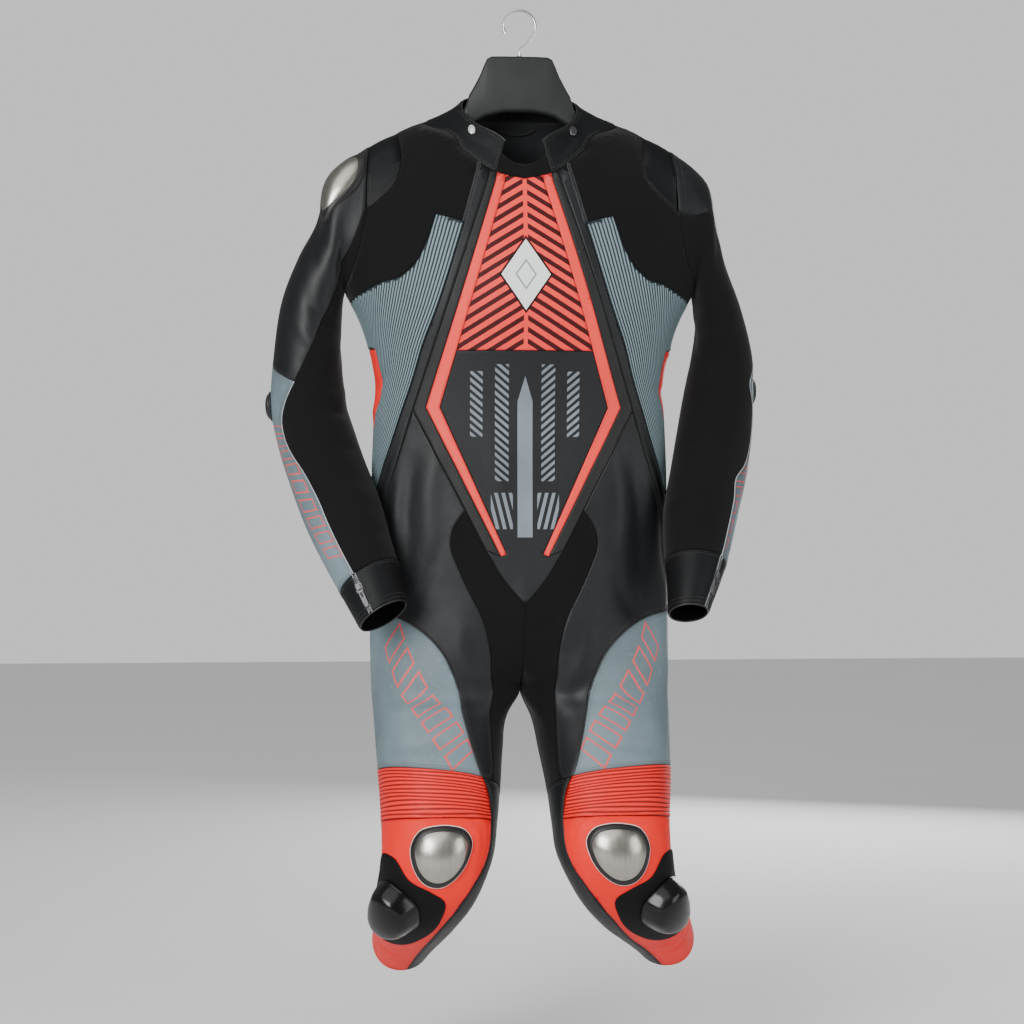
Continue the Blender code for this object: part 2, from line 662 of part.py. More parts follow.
def triangles(loop, extra, lines):
    """Triangles over a loop, extra points and nets of (points, edges), in their order."""
    verts = [loop, extra] if len(extra) else [loop]
    edges = [(i, (i + 1) % len(loop)) for i in range(len(loop))]
    count = len(loop) + len(extra)
    for points, links in lines:
        edges += [(count + i, count + k) for i, k in links]
        verts.append(points)
        count += len(points)
    verts = np.vstack(verts)
    made = delaunay_2d_cdt([Vector(v) for v in verts], edges, [], 0, 1e-9, True)
    origin = [ids[0] if ids else -1 for ids in made[3]]
    if len(origin) != len(verts) or -1 in origin:
        added = [tuple(round(c, 4) for c in v) for v, i in zip(made[0], origin) if i < 0]
        raise ValueError("lines cross at %s" % added[:4])
    faces = np.array([[origin[i] for i in face] for face in made[2]])
    return faces[inside(verts[faces].mean(axis=1), loop)]


def facing(faces, place, out):
    """Turn triangles so that they face along the outward directions."""
    a, b, c = (place[faces[:, i]] for i in range(3))
    normal = np.cross(b - a, c - a)
    wrong = (normal * out[faces].mean(axis=1)).sum(axis=1).sum() < 0
    return faces[:, ::-1] if wrong else faces


def inset(place, out, faces, count, gap=SEAM_GAP / 2):
    """Move a loop's vertices into the piece, so that the edge stands back by the gap."""
    after = {}
    for face in faces:
        for i in range(3):
            p, q = face[i], face[(i + 1) % 3]
            if p < count and q < count and abs(int(p) - int(q)) in (1, count - 1):
                after.setdefault((min(p, q), max(p, q)), (p, q))
    first, second = after[(0, 1)] if (0, 1) in after else (0, 1)
    forward = 1 if first < second else -1
    ring = place[:count]
    ahead = np.roll(ring, -forward, axis=0) - ring
    behind = ring - np.roll(ring, forward, axis=0)
    sides = []
    for edge in (ahead, behind):
        side = np.cross(out[:count], edge)
        sides.append(side / np.maximum(np.linalg.norm(side, axis=1), 1e-9)[:, None])
    total = sides[0] + sides[1]
    share = 1 + (sides[0] * sides[1]).sum(axis=1)
    moved = place.copy()
    moved[:count] = ring + total / np.maximum(share, 0.35)[:, None] * gap
    return moved, forward


def panel(name, surface, loop, material, lines=(), step=STEP, relief=None, inner_step=None):
    """A sewn piece: the region of a surface inside a loop, as a closed wall.

    lines are nets of ((a, b) points, edges) that the mesh follows.  With relief, which has one
    height for each of them, they shape only the outside of the wall.
    """
    count = len(loop)
    flat = surface.flat(loop[:, :2])
    flat_lines = [(surface.flat(points), links) for points, links in lines]
    layers = []
    for outer in (True, False):
        used = flat_lines if relief is None or outer else []
        if relief is not None and outer:
            extra = np.zeros((0, 2))
        else:
            extra = filling(flat, inner_step or step, [line for line, _ in used])
        faces = triangles(flat, extra, used)
        at = surface.unflat(np.vstack([flat, extra] + [line for line, _ in used]))
        place = surface.point(at[:, 0], at[:, 1])
        out = surface.normal(at[:, 0], at[:, 1])
        given = ~np.isnan(loop[:, 2])
        out[:count][given] = loop[given, 2:]
        faces = facing(faces, place, out)
        place, forward = inset(place, out, faces, count)
        if outer:
            if relief is not None:
                heights = np.concatenate([np.full(len(x), h) for (x, _), h in zip(lines, relief)])
                place[-len(heights):] += out[-len(heights):] * heights[:, None]
            layers.append((place, faces))
            if relief is None:
                layers.append((place - out * WALL, faces[:, ::-1]))
                break
        else:
            layers.append((place - out * WALL, faces[:, ::-1]))
    (outside, outer_faces), (within, inner_faces) = layers
    shift = len(outside)
    ring = list(range(count))[::forward]
    walls = []
    for i in range(count):
        p, q = ring[i], ring[(i + 1) % count]
        if np.dot(outside[p] - outside[q], (0.531, 0.312, 0.788)) > 0:
            walls += [(q, p, p + shift), (q, p + shift, q + shift)]
        else:
            walls += [(q, p, q + shift), (p, p + shift, q + shift)]
    faces = [tuple(face) for face in outer_faces]
    faces += [tuple(face + shift) for face in inner_faces] + walls
    return solid(name, np.vstack([outside, within]), faces, material)


def solid(name, places, faces, material, sharp=50):
    mesh = bpy.data.meshes.new(name)
    faces = [tuple(int(i) for i in face) for face in faces]
    mesh.from_pydata([tuple(float(c) for c in place) for place in places], [], faces)
    mesh.polygons.foreach_set("use_smooth", [True] * len(faces))
    mesh.set_sharp_from_angle(angle=math.radians(sharp))
    mesh.materials.append(material)
    made = bpy.data.objects.new(name, mesh)
    bpy.context.scene.collection.objects.link(made)
    return made


def ring_faces(rings, count):
    """Faces of stacked rings of vertices, closed by one vertex before and one after them."""
    faces = []
    for j in range(count):
        k = (j + 1) % count
        faces.append((0, 1 + j, 1 + k))
        for i in range(rings - 1):
            row, below = 1 + i * count, 1 + (i + 1) * count
            faces += [(row + j, below + j, below + k), (row + j, below + k, row + k)]
        last = 1 + (rings - 1) * count
        faces.append((last + k, last + j, 1 + rings * count))
    return faces


def outward(places, faces):
    """Turn a closed solid's faces outward."""
    volume = 0.0
    for face in faces:
        for i in range(1, len(face) - 1):
            a, b, c = places[face[0]], places[face[i]], places[face[i + 1]]
            volume += np.dot(a, np.cross(b, c))
    return faces if volume > 0 else [tuple(face[::-1]) for face in faces]


def stacked(name, rings, material, sharp=40):
    """A solid of rings of places, the first and the last ring being single points."""
    count = len(rings[1])
    places = np.vstack([np.atleast_2d(ring) for ring in rings])
    faces = outward(places, ring_faces(len(rings) - 2, count))
    return solid(name, places, faces, material, sharp)


def footprint(surface, centre, outline, scales):
    """The net of (a, b) points under a hard piece, for the panel that carries it."""
    shape = np.array(outline, float) * MM / np.array(metres_per_step(surface, centre))
    middle = np.array([centre], float)
    count, rings = len(shape), [scale for scale in scales if scale > 0]
    points = np.vstack([middle + shape * scale for scale in rings] + [middle])
    links = []
    for i in range(len(rings)):
        for j in range(count):
            k, row, inner = (j + 1) % count, i * count, (i + 1) * count
            links.append((row + j, row + k))
            if i + 1 < len(rings):
                links += [(row + j, inner + j), (row + j, inner + k)]
            else:
                links.append((row + j, len(points) - 1))
    return points, links


def polyline(points):
    return points, [(i, i + 1) for i in range(len(points) - 1)]


def metres_per_step(surface, at):
    a, b = np.array([at[0]]), np.array([at[1]])
    da, db = surface.nudge
    along_a = surface.point(a + da, b) - surface.point(a - da, b)
    along_b = surface.point(a, b + db) - surface.point(a, b - db)
    return np.linalg.norm(along_a) / (2 * da), np.linalg.norm(along_b) / (2 * db)


def cap(name, surface, centre, outline, rings, material, lift=LIFT, bottom=(0.55,), lean=None,
        sharp=40):
    """A hard piece lying on a surface, as rings of (scale, height) over an outline.

    The outline holds (across, along) in millimetres.  With lean, a direction, rings above the
    edge rise along it instead of along the surface.
    """
    a, b = np.array([centre[0]]), np.array([centre[1]])
    shape = np.array(outline, float) * MM / np.array(metres_per_step(surface, centre))

    def lay(scale, height):
        at_a, at_b = a + shape[:, 0] * scale, b + shape[:, 1] * scale
        if scale == 0:
            at_a, at_b = a, b
        place, out = surface.point(at_a, at_b), surface.normal(at_a, at_b)
        rise = out if lean is None else np.array([lean])
        return place + out * lift + rise * height * MM

    made = [lay(scale, height) for scale, height in rings]
    made += [lay(scale, 0.0) for scale in bottom] + [lay(0, 0.0)]
    return stacked(name, made, material, sharp)


def rounded_outline(width, height, count=16, power=2.6, lean=0.0):
    """A superellipse outline, wider at the top by lean."""
    points = []
    for i in range(count):
        turn = 2 * math.pi * i / count
        x = abs(math.cos(turn)) ** (2 / power) * math.copysign(1, math.cos(turn))
        y = abs(math.sin(turn)) ** (2 / power) * math.copysign(1, math.sin(turn))
        points.append((x * width / 2 * (1 - lean * y), y * height / 2))
    return points


def material(name, colour, rough, metal=0.0, coat=0.0):
    made = bpy.data.materials.new(name)
    made.use_nodes = True
    shader = made.node_tree.nodes["Principled BSDF"]
    shader.inputs["Base Color"].default_value = (*colour, 1.0)
    shader.inputs["Roughness"].default_value = rough
    shader.inputs["Metallic"].default_value = metal
    shader.inputs["Coat Weight"].default_value = coat
    return made


def smooth_outline(points, count):
    """Evenly spaced points on a closed smooth curve through these."""
    points = np.array(points, float)
    around = np.vstack([points[-2:], points, points[:3]])
    keys = np.append(0.0, np.cumsum(np.linalg.norm(np.diff(around, axis=0), axis=1)))
    at = np.linspace(keys[2], keys[2 + len(points)], count, endpoint=False)
    return np.stack([smooth(keys, around[:, i], at) for i in range(2)], axis=1)


def outline_at(surface, centre, points):
    """An outline given in a surface's parameters, as millimetres about the centre."""
    per_step = np.array(metres_per_step(surface, centre))
    return (np.array(points) - np.array(centre)) * per_step / MM


def local_frame(surface, a, b):
    """Place, direction along the cloth, outward direction and the direction across both."""
    at = np.array([a]), np.array([b])
    step = surface.nudge[1]
    place, out = surface.point(*at)[0], surface.normal(*at)[0]
    ahead = surface.point(at[0], at[1] + step)[0] - surface.point(at[0], at[1] - step)[0]
    ahead -= out * np.dot(ahead, out)
    ahead /= np.linalg.norm(ahead)
    return place, ahead, out, np.cross(ahead, out)


def prism(name, origin, first, second, third, outline, low, high, mat):
    """An outline in millimetres along first and second, raised from low to high along third."""
    outline = np.array(outline, float) * MM
    flat = origin + outline[:, :1] * first + outline[:, 1:] * second
    places = np.vstack([flat + third * low * MM, flat + third * high * MM])
    count = len(outline)
    top = triangles(outline, np.zeros((0, 2)), ())
    faces = [tuple(face) for face in top[:, ::-1]] + [tuple(face + count) for face in top]
    for i in range(count):
        k = (i + 1) % count
        faces.append((i, k, k + count, i + count))
    area = sum(outline[i, 0] * outline[i - count + 1, 1] - outline[i - count + 1, 0] * outline[i, 1]
               for i in range(count))
    oriented = []
    for j, face in enumerate(faces):
        a, b, c = (places[face[i]] for i in range(3))
        if j < 2 * len(top):
            want = -third if j < len(top) else third
        else:
            edge = places[face[1]] - places[face[0]]
            want = np.cross(edge, third) * (1 if area > 0 else -1)
            want = want * np.sign(np.dot(np.cross(first, second), third))
        oriented.append(face if np.dot(np.cross(b - a, c - a), want) > 0 else face[::-1])
    return solid(name, places, oriented, mat, 30)


# Hard pieces: middles and outlines in the parameters of the cloth that carries them.
KNEE_PLATE = (0.498, 1.267)
PLATE_OUTLINE = ((0.53, 1.241), (0.62, 1.246), (0.665, 1.260), (0.645, 1.275), (0.57, 1.289),
                 (0.49, 1.292), (0.40, 1.283), (0.348, 1.268), (0.335, 1.254), (0.375, 1.245),
                 (0.45, 1.241))
SLIDER_BASE = (0.74, 1.335)
BASE_OUTLINE = ((0.80, 1.268), (0.93, 1.268), (0.98, 1.296), (1.0, 1.37), (0.91, 1.42),
                (0.63, 1.398), (0.487, 1.359), (0.44, 1.326), (0.445, 1.306), (0.533, 1.296),
                (0.66, 1.288))
PUCK = (0.735, 1.325)
PUCK_OUTLINE = ((-31, -21), (-10, -36), (14, -44), (33, -36), (41, -8), (37, 24), (20, 42),
                (-8, 45), (-29, 31), (-37, 5))
BASE_THICK, PUCK_HEIGHT = 2.0, 29.0
CUPS = {"r": (0.47, 1.37), "l": (-0.42, 1.37)}
ELBOWS = {"r": (-0.17, 7.0), "l": (-0.22, 6.9)}
SNAP_ANGLE, SNAP_HEIGHT = 46.0, 0.72
ZIP_SLIDE = {"r": 12.15, "l": 11.95}
RINGS = (1.0, 0.75, 0.5, 0.25, 0.0)
SMALL_RINGS = (1.0, 0.5, 0.0)
RIB_PITCH, RIB_RISE, RIB_DIP = 5.2, 0.8, -0.4
KNEE_RIBS = 10


def outlines(side):
    half = HALF[side]
    return {
        "knee_plate": smooth_outline(outline_at(half, KNEE_PLATE, PLATE_OUTLINE), 20),
        "slider_base": smooth_outline(outline_at(half, SLIDER_BASE, BASE_OUTLINE), 24),
        "shoulder_cup": rounded_outline(72, 88, 18, 2.4, 0.08),
        "elbow_cup": rounded_outline(50, 46, 14, 2.4),
        "snap": rounded_outline(15, 15, 12, 2.0),
    }


def rib_lines(half, loop, base):
    """Lines beside a seam at half the rib pitch, cut off at the piece's edge, with heights."""
    girth = lambda t: np.interp(t, BODY.t, BODY.girth)
    true = lambda at: np.stack([at[:, 0] * girth(at[:, 1]), at[:, 1]], axis=1)
    edge, line = true(loop[:, :2]), true(base)
    line = np.vstack([line[0] * 2 - line[1], line, line[-1] * 2 - line[-2]])
    ahead = np.gradient(line, axis=0)
    ahead /= np.linalg.norm(ahead, axis=1)[:, None]
    beside = np.stack([ahead[:, 1], -ahead[:, 0]], axis=1)
    found, heights = [], []
    for k in range(1, 200):
        moved = line + beside * k * RIB_PITCH / 2 * MM
        length = np.append(0.0, np.cumsum(np.linalg.norm(np.diff(moved, axis=0), axis=1)))
        at = np.arange(0.0, length[-1], 4 * MM)
        fine = np.stack([np.interp(at, length, moved[:, i]) for i in range(2)], axis=1)
        keep = inside(fine, edge)
        keep[keep] = clearance(fine[keep], edge) > 2.4 * MM
        starts = np.flatnonzero(np.diff(np.concatenate([[0], keep.astype(int), [0]])))
        for first, last in zip(starts[::2], starts[1::2] - 1):
            if last - first < 2:
                continue
            count = max(1, int(round((last - first) * 4 * MM / (STEP * 1.15))))
            run = fine[np.linspace(first, last, count + 1).round().astype(int)]
            found.append(polyline(np.stack([run[:, 0] / girth(run[:, 1]), run[:, 1]], axis=1)))
            heights.append((RIB_RISE if k % 2 else RIB_DIP) * MM)
    return found, heights


def between_lines(top, bottom, inner, count):
    """Lines spaced evenly from one seam to another, standing clear of the inner edge."""
    found, heights = [], []
    for k in range(1, 2 * count):
        share = k / (2.0 * count)
        a = np.linspace(np.interp(share, (0, 1), inner) + 0.02, BACK_EDGE - 0.012, 9)
        t_top = np.interp(a, top[:, 0], top[:, 1])
        t_low = np.interp(a, bottom[:, 0], bottom[:, 1])
        found.append(polyline(np.stack([a, t_top + (t_low - t_top) * share], axis=1)))
        heights.append((RIB_RISE if k % 2 else RIB_DIP) * 1.3 * MM)
    return found, heights


for old in list(bpy.data.objects):
    bpy.data.objects.remove(old, do_unlink=True)

BLACK = material("black_leather", (0.020, 0.021, 0.022), 0.45)
STRETCH = material("black_stretch_cloth", (0.007, 0.007, 0.008), 0.92)
CORAL = material("coral_leather", (0.80, 0.052, 0.040), 0.50)
GREY = material("grey_blue_leather", (0.16, 0.20, 0.215), 0.50)
LINING = material("black_stretch_panel", (0.012, 0.012, 0.013), 0.80)
STEEL = material("brushed_plate", (0.50, 0.47, 0.43), 0.32, 1.0)
RUBBER = material("black_moulded_plastic", (0.010, 0.010, 0.011), 0.30)
HANGER = material("hanger_plastic", (0.035, 0.037, 0.038), 0.35)
WIRE = material("hook_steel", (0.60, 0.60, 0.60), 0.25, 1.0)
DARK_METAL = material("dark_zip_metal", (0.16, 0.16, 0.17), 0.35, 1.0)

SEAMS = {side: body_seams(side) for side in SIDES}


def front_pair(name):
    return SEAMS["l"][name], other_side(SEAMS["r"][name])


def back_pair(name):
    return SEAMS["l"][name], other_side(SEAMS["r"][name], 2.0)


neck_front = neck_seam(-NECK_STOPS["kite_in"], NECK_STOPS["kite_in"])[0]
neck_front[:, 0] = np.abs(neck_front[:, 0]) * np.sign(np.linspace(-1, 1, len(neck_front)))
neck_back = neck_seam(90.0, 270.0)[0]
neck_back[:, 0] = np.where(neck_back[:, 0] < 0, neck_back[:, 0] + 4.0, neck_back[:, 0])


def crossing(names, pair, *closing):
    """A loop that crosses the centre: seams of the left side, then those of the right."""
    left = [pair(name)[0] for name in names]
    right = [pair(name)[1] for name in reversed(names)]
    return chain(*closing, *left, *right)


def beside_ridge(off, first, last, count=5, about=1.0, toward=1.0):
    """A line that keeps near the top of the shoulder, on the front or behind it."""
    t = np.linspace(first, last, count)
    girth = np.interp(t, BODY.t, BODY.girth)
    return polyline(np.stack([about + toward * (off * MM / girth), t], axis=1))


RIDGE_OFF = 11.0
back_ridge = [beside_ridge(RIDGE_OFF, 0.170, 0.183, 3),
              beside_ridge(RIDGE_OFF, 0.170, 0.183, 3, 3.0, -1.0)]

panel("kite_upper", BODY, crossing(("kite_top", "kite_split"), front_pair, neck_front), CORAL)
panel("kite_lower", BODY, crossing(
    ("kite_split", "kite_low", "band_end", "border_end", "vee"), front_pair), LINING)
panel("back", BACK, crossing(
    ("ridge", "shoulder_back", "armhole_back", "armpit", "rib_under", "rib_back", "side_red_back",
     "side_low", "waist"), back_pair, neck_back), BLACK, back_ridge, STEP * 1.25)
panel("seat", BACK, crossing(
    ("waist", "side_tip", "zip_end", "zip_cap", "hip_side", "thigh_top_back", "thigh_edge_high",
     "seat_edge"), back_pair), BLACK, (), STEP * 1.25)

PAIRED = {
    "band": (CORAL, ("neck_band", "band_out", "band_end", "kite_low", "kite_top")),
    "border": (BLACK, ("neck_border", "border_upper", "border_hip", "border_groin", "border_end",
                       "band_out")),
    "zip_strip": (BLACK, ("neck_zip", "zip_upper", "zip_lower", "zip_end", "zip_cap", "zip_inner",
                         "border_upper")),
    "chest": (STRETCH, ("neck_chest", "ridge", "shoulder_front", "armhole_front", "armpit",
                        "rib_side", "rib_curve", "rib_slant", "zip_upper")),
    "shoulder": (BLACK, ("shoulder_front", "armhole_top", "shoulder_back")),
    "ribs": (GREY, ("rib_slant", "rib_curve", "rib_side", "rib_under", "rib_back", "side",
                    "side_red_front", "side_low", "side_tip", "zip_lower")),
    "side": (CORAL, ("side", "side_red_front", "side_red_back")),
    "hip": (BLACK, ("border_hip", "zip_inner", "hip_side", "thigh_front", "hip_hem", "groin_out")),
    "groin": (STRETCH, ("groin_out", "border_groin", "vee", "centre_high", "centre_low",
                        "groin_hem")),
    "thigh": (GREY, ("thigh_top_back", "thigh_front", "knee_top", "thigh_edge_low",
                     "thigh_edge_high")),
    "knee_ribs": (CORAL, ("knee_top", "knee_inner_high", "ribs_end", "knee_back_high")),
    "knee": (CORAL, ("ribs_end", "knee_inner_low", "hem_front", "knee_back_low")),
}


def leg_back_loop(seams):
    """Behind the leg and round inside it, where a runs past 2 to the front's inner edge."""
    names = ("seat_edge", "centre_low", "groin_hem", "hip_hem", "knee_inner_high",
             "knee_inner_low", "hem_back", "knee_back_low", "knee_back_high", "thigh_edge_low")
    pieces = []
    for name in names:
        piece = seams[name].copy()
        if name in ("centre_low", "groin_hem", "hip_hem", "knee_inner_high", "knee_inner_low"):
            piece[:, 0] += 2.0
        pieces.append(piece)
    return chain(*pieces)


def sleeve_rows(sleeve, points, turns=0.0):
    """A sleeve seam given as (ring, degrees round it)."""
    at = np.array([(degrees / 90.0 + turns, ring) for ring, degrees in points], float)
    at = rounded(at) if len(at) > 2 else np.linspace(at[0], at[1], 30)
    return seam(at, sleeve)


def turned(rows, turns):
    moved = rows.copy()
    moved[:, 0] += turns
    return moved


def sleeve_loops(side):
    """The loops of one sleeve's four sewn pieces, by name."""
    sleeve, table = SLEEVE[side], SLEEVE_SEAMS[side]
    edge = {name: sleeve_rows(sleeve, table[name]) for name in table if name != "cuff"}
    front_end, back_end = table["forearm_front"][-1][1], table["forearm_back"][-1][1]
    cuff, last = table["cuff"], sleeve.last
    over = sleeve_rows(sleeve, ((cuff, front_end), (cuff, back_end)))
    under = sleeve_rows(sleeve, ((cuff, front_end), (cuff, back_end + 360)))
    top = armhole_seam(side, ARMHOLE_SPLIT, -ARMHOLE_SPLIT)[1]
    front = armhole_seam(side, ARMHOLE_SPLIT, 2.0)[1]
    back = armhole_seam(side, 2.0, 4.0 - ARMHOLE_SPLIT)[1]
    slit = sleeve_rows(sleeve, ((cuff, front_end), (last, front_end)))
    end = sleeve_rows(sleeve, ((last, front_end), (last, front_end + 360)))
    return {
        "upper_sleeve": chain(top, edge["back"], edge["elbow"], edge["front"]),
        "inner_sleeve": chain(front, back, turned(edge["back"], 4.0),
                              turned(edge["forearm_back"], 4.0), under, edge["forearm_front"],
                              edge["front"]),
        "forearm": chain(edge["elbow"], edge["forearm_front"], over, edge["forearm_back"]),
        "cuff": chain(under, turned(over, 4.0), turned(slit, 4.0), end, slit),
    }


SLEEVE_COLOURS = {"upper_sleeve": BLACK, "inner_sleeve": STRETCH, "forearm": GREY, "cuff": BLACK}
for side, seams in SEAMS.items():
    half, sleeve, shape = HALF[side], SLEEVE[side], outlines(side)
    for name, (colour, names) in PAIRED.items():
        loop = chain(*[seams[key] for key in names])
        lines, relief, step, inner_step = (), None, STEP, None
        if name == "ribs":
            base = np.stack(BODY.seen_at(*rounded(
                np.array(FRONT_SEAMS["zip_lower"], float) * MM).T), axis=1)
            lines, relief = rib_lines(half, loop, base)
            inner_step = STEP * 0.8
        elif name == "knee_ribs":
            lines, relief = between_lines(seams["knee_top"], seams["ribs_end"],
                                          (KNEE_CORNER[0], KNEE_INNER[1][0]), KNEE_RIBS)
            inner_step = STEP * 0.8
        elif name == "knee":
            lines = [footprint(half, KNEE_PLATE, shape["knee_plate"], RINGS),
                     footprint(half, SLIDER_BASE, shape["slider_base"], RINGS)]
        elif name == "chest":
            lines = [beside_ridge(-RIDGE_OFF, 0.176, 0.186, 2)]
        elif name == "shoulder":
            lines = [beside_ridge(off, 0.192, 0.202, 2) for off in (-RIDGE_OFF, 0, RIDGE_OFF)]
        panel(name + "_" + side, half, loop, colour, lines, step, relief, inner_step)
    panel("leg_back_" + side, half, leg_back_loop(seams), BLACK, (), STEP * 1.2)
    for name, loop in sleeve_loops(side).items():
        lines = ()
        if name == "upper_sleeve":
            lines = [footprint(sleeve, CUPS[side], shape["shoulder_cup"], RINGS)]
        elif name == "forearm":
            lines = [footprint(sleeve, ELBOWS[side], shape["elbow_cup"], SMALL_RINGS)]
        panel(name + "_" + side, sleeve, loop, SLEEVE_COLOURS[name], lines)

# The collar stands on the neck seam and is open at the throat, where a soft flap fills in.
THROAT = NECK_STOPS["band_out"]


def collar_loop():
    """From the left front end round the back to the right front end and along the top."""
    stops = sorted(NECK_STOPS.values())[1:] + [90.0]
    left = [neck_seam(a, b)[1] for a, b in zip(stops, stops[1:])]
    right = [turned(other_side(piece), 360.0) for piece in left]
    for piece, source in zip(right, left):
        piece[:, 2] *= -1
    back = neck_seam(90.0, 270.0)[1]
    top = seam(np.linspace((THROAT, 1.0), (360.0 - THROAT, 1.0), 90), COLLAR_BAND)
    ends = [seam(np.array([(at, 0.0), (at, 1.0)]), COLLAR_BAND) for at in (THROAT, 360.0 - THROAT)]
    return chain(*left, back, *right[::-1], ends[1], top, ends[0])


def throat_loop():
    stops = sorted(NECK_STOPS.values())[:2]
    left = neck_seam(*stops)[1]
    right = other_side(left)
    right[:, 2] *= -1
    front = neck_seam(-stops[0], stops[0])[1]
    high = [(-THROAT, 0.62), (-11, 0.86), (0, 1.0), (11, 0.86), (THROAT, 0.62)]
    top = seam(rounded(high), COLLAR_BAND)
    ends = [seam(np.array([(at, 0.0), (at, 0.62)]), COLLAR_BAND) for at in (THROAT, -THROAT)]
    return chain(front, left, ends[0], top, ends[1], right)


snap_prints = []
for side, sign in SIDES.items():
    at = (SNAP_ANGLE if sign > 0 else 360 - SNAP_ANGLE, SNAP_HEIGHT)
    snap_prints.append(footprint(COLLAR_BAND, at, outlines(side)["snap"], SMALL_RINGS))
panel("collar", COLLAR_BAND, collar_loop(), BLACK, snap_prints, STEP * 0.75)
panel("throat", COLLAR_BAND, throat_loop(), LINING)

for side in SIDES:
    half, sleeve, shape = HALF[side], SLEEVE[side], outlines(side)
    cap("knee_plate_" + side, half, KNEE_PLATE, shape["knee_plate"],
        ((0, 12), (0.4, 11.3), (0.68, 9), (0.86, 5.8), (0.9, 3.6), (1.0, 2.8), (1.0, 0)), STEEL,
        bottom=RINGS[1:-1])
    cap("slider_base_" + side, half, SLIDER_BASE, shape["slider_base"],
        [(scale, BASE_THICK) for scale in (0, 0.25, 0.5, 0.75, 0.98)] + [(1.0, 0)], RUBBER,
        bottom=RINGS[1:-1])
    rise = half.normal(np.array([PUCK[0]]), np.array([PUCK[1]]))[0]
    cap("knee_slider_" + side, half, PUCK, smooth_outline(PUCK_OUTLINE, 16),
        ((0, PUCK_HEIGHT), (0.42, PUCK_HEIGHT - 1), (0.68, PUCK_HEIGHT - 5), (0.88, 14), (0.97, 4),
         (1.0, 0)), RUBBER, lift=3.4 * MM, lean=rise, bottom=RINGS[1:-1])
    cap("shoulder_cup_" + side, sleeve, CUPS[side], shape["shoulder_cup"],
        ((0, 12), (0.42, 11.2), (0.7, 8.6), (0.88, 5.4), (0.92, 3.4), (1.0, 2.6), (1.0, 0)), STEEL,
        bottom=RINGS[1:-1])
    cap("elbow_cup_" + side, sleeve, ELBOWS[side], shape["elbow_cup"],
        ((0, 9), (0.5, 8), (0.85, 4.5), (1.0, 1.5), (1.0, 0)), RUBBER, bottom=(0.5,))
    cap("snap_" + side, COLLAR_BAND, (SNAP_ANGLE * SIDES[side], SNAP_HEIGHT), shape["snap"],
        ((0, 2.4), (0.55, 2.2), (0.9, 1.2), (1.0, 0.5), (1.0, 0)),
        STEEL if side == "r" else DARK_METAL, bottom=(0.5,))

    slit = SLEEVE_SEAMS[side]["forearm_front"][-1][1] / 90.0
    place, down, out, across = local_frame(sleeve, slit, ZIP_SLIDE[side])
    slide = ((-8, -4), (-6, -5.2), (8, -5.2), (8, -4.1), (3.4, -4.1), (3.4, 4.1), (8, 4.1),
             (8, 5.2), (-6, 5.2), (-8, 4))
    prism("cuff_slider_" + side, place, down, across, out, slide, 0.35, 3.9, DARK_METAL)
    pivot = place + down * 5.6 * MM + out * 2.4 * MM
    tab = [(0.9 * math.cos(turn), 0.9 * math.sin(turn))
           for turn in np.radians(np.linspace(90, 270, 7))]
    tab += [(24, -0.9), (25, 0.0), (24, 0.9)]
    prism("pull_tab_" + side, pivot, down, out, across, tab, -3.6, 3.6, DARK_METAL)

# The hanger: a broad moulded body that fills the shoulders, and its wire hook.
HANGER_COLUMNS = ("x", "top", "bottom", "half")
HANGER_TABLE = (
    (0, -67, -151, 8.0),
    (24, -67, -152, 8.0),
    (42, -67.5, -156, 8.0),
    (49, -71, -158, 8.0),
    (54, -82, -160, 8.2),
    (60, -97, -164, 8.4),
    (68, -112, -169, 8.6),
    (76, -126, -174, 8.8),
    (81, -142, -178, 9.0),
    (89, -158, -184, 9.0),
    (106, -166, -191, 9.5),
    (124, -171, -200, 11.0),
    (150, -175, -213, 12.0),
    (180, -188, -226, 13.0),
    (205, -200, -234, 13.5),
    (222, -210, -238, 12.5),
    (229, -218, -236, 7.0),
)
GARMENT_CLEAR = 0.9             # between the shoulders' inside and the hanger, vertically


def hanger_sections():
    rows = {name: column(HANGER_COLUMNS, HANGER_TABLE, name) for name in HANGER_COLUMNS}
    fine = np.linspace(BODY.t[0], 0.24, 400)
    ridge_x = BODY.point(np.full(400, 1.0), fine)[:, 0]
    for i, x in enumerate(rows["x"]):
        if 140 * MM < x < 225 * MM:
            t = np.interp(x, ridge_x, fine)
            slope = np.gradient(fine, ridge_x)[np.searchsorted(ridge_x, x)]
            rows["top"][i] = -t - WALL * math.hypot(1, slope) - GARMENT_CLEAR * MM
    turns = np.radians(np.arange(0, 360, 30))
    rings = []
    for sign in (-1, 1):
        order = range(len(rows["x"]) - 1, 0, -1) if sign < 0 else range(len(rows["x"]))
        for i in order:
            half, top, bottom = rows["half"][i], rows["top"][i], rows["bottom"][i]
            middle = (top + bottom) / 2
            straight = max((top - bottom) / 2 - half, 0.0)
            high = (top - bottom) / 2 - straight
            y = half * np.sin(turns)
            z = middle + np.sign(np.cos(turns)) * straight + high * np.cos(turns)
            rings.append(np.stack([np.full(12, sign * rows["x"][i]), y, z], axis=1))
    first, last = rings[0].mean(axis=0), rings[-1].mean(axis=0)
    first[0] -= 3 * MM
    last[0] += 3 * MM
    return [first] + rings + [last]


stacked("hanger_body", hanger_sections(), HANGER, 45)


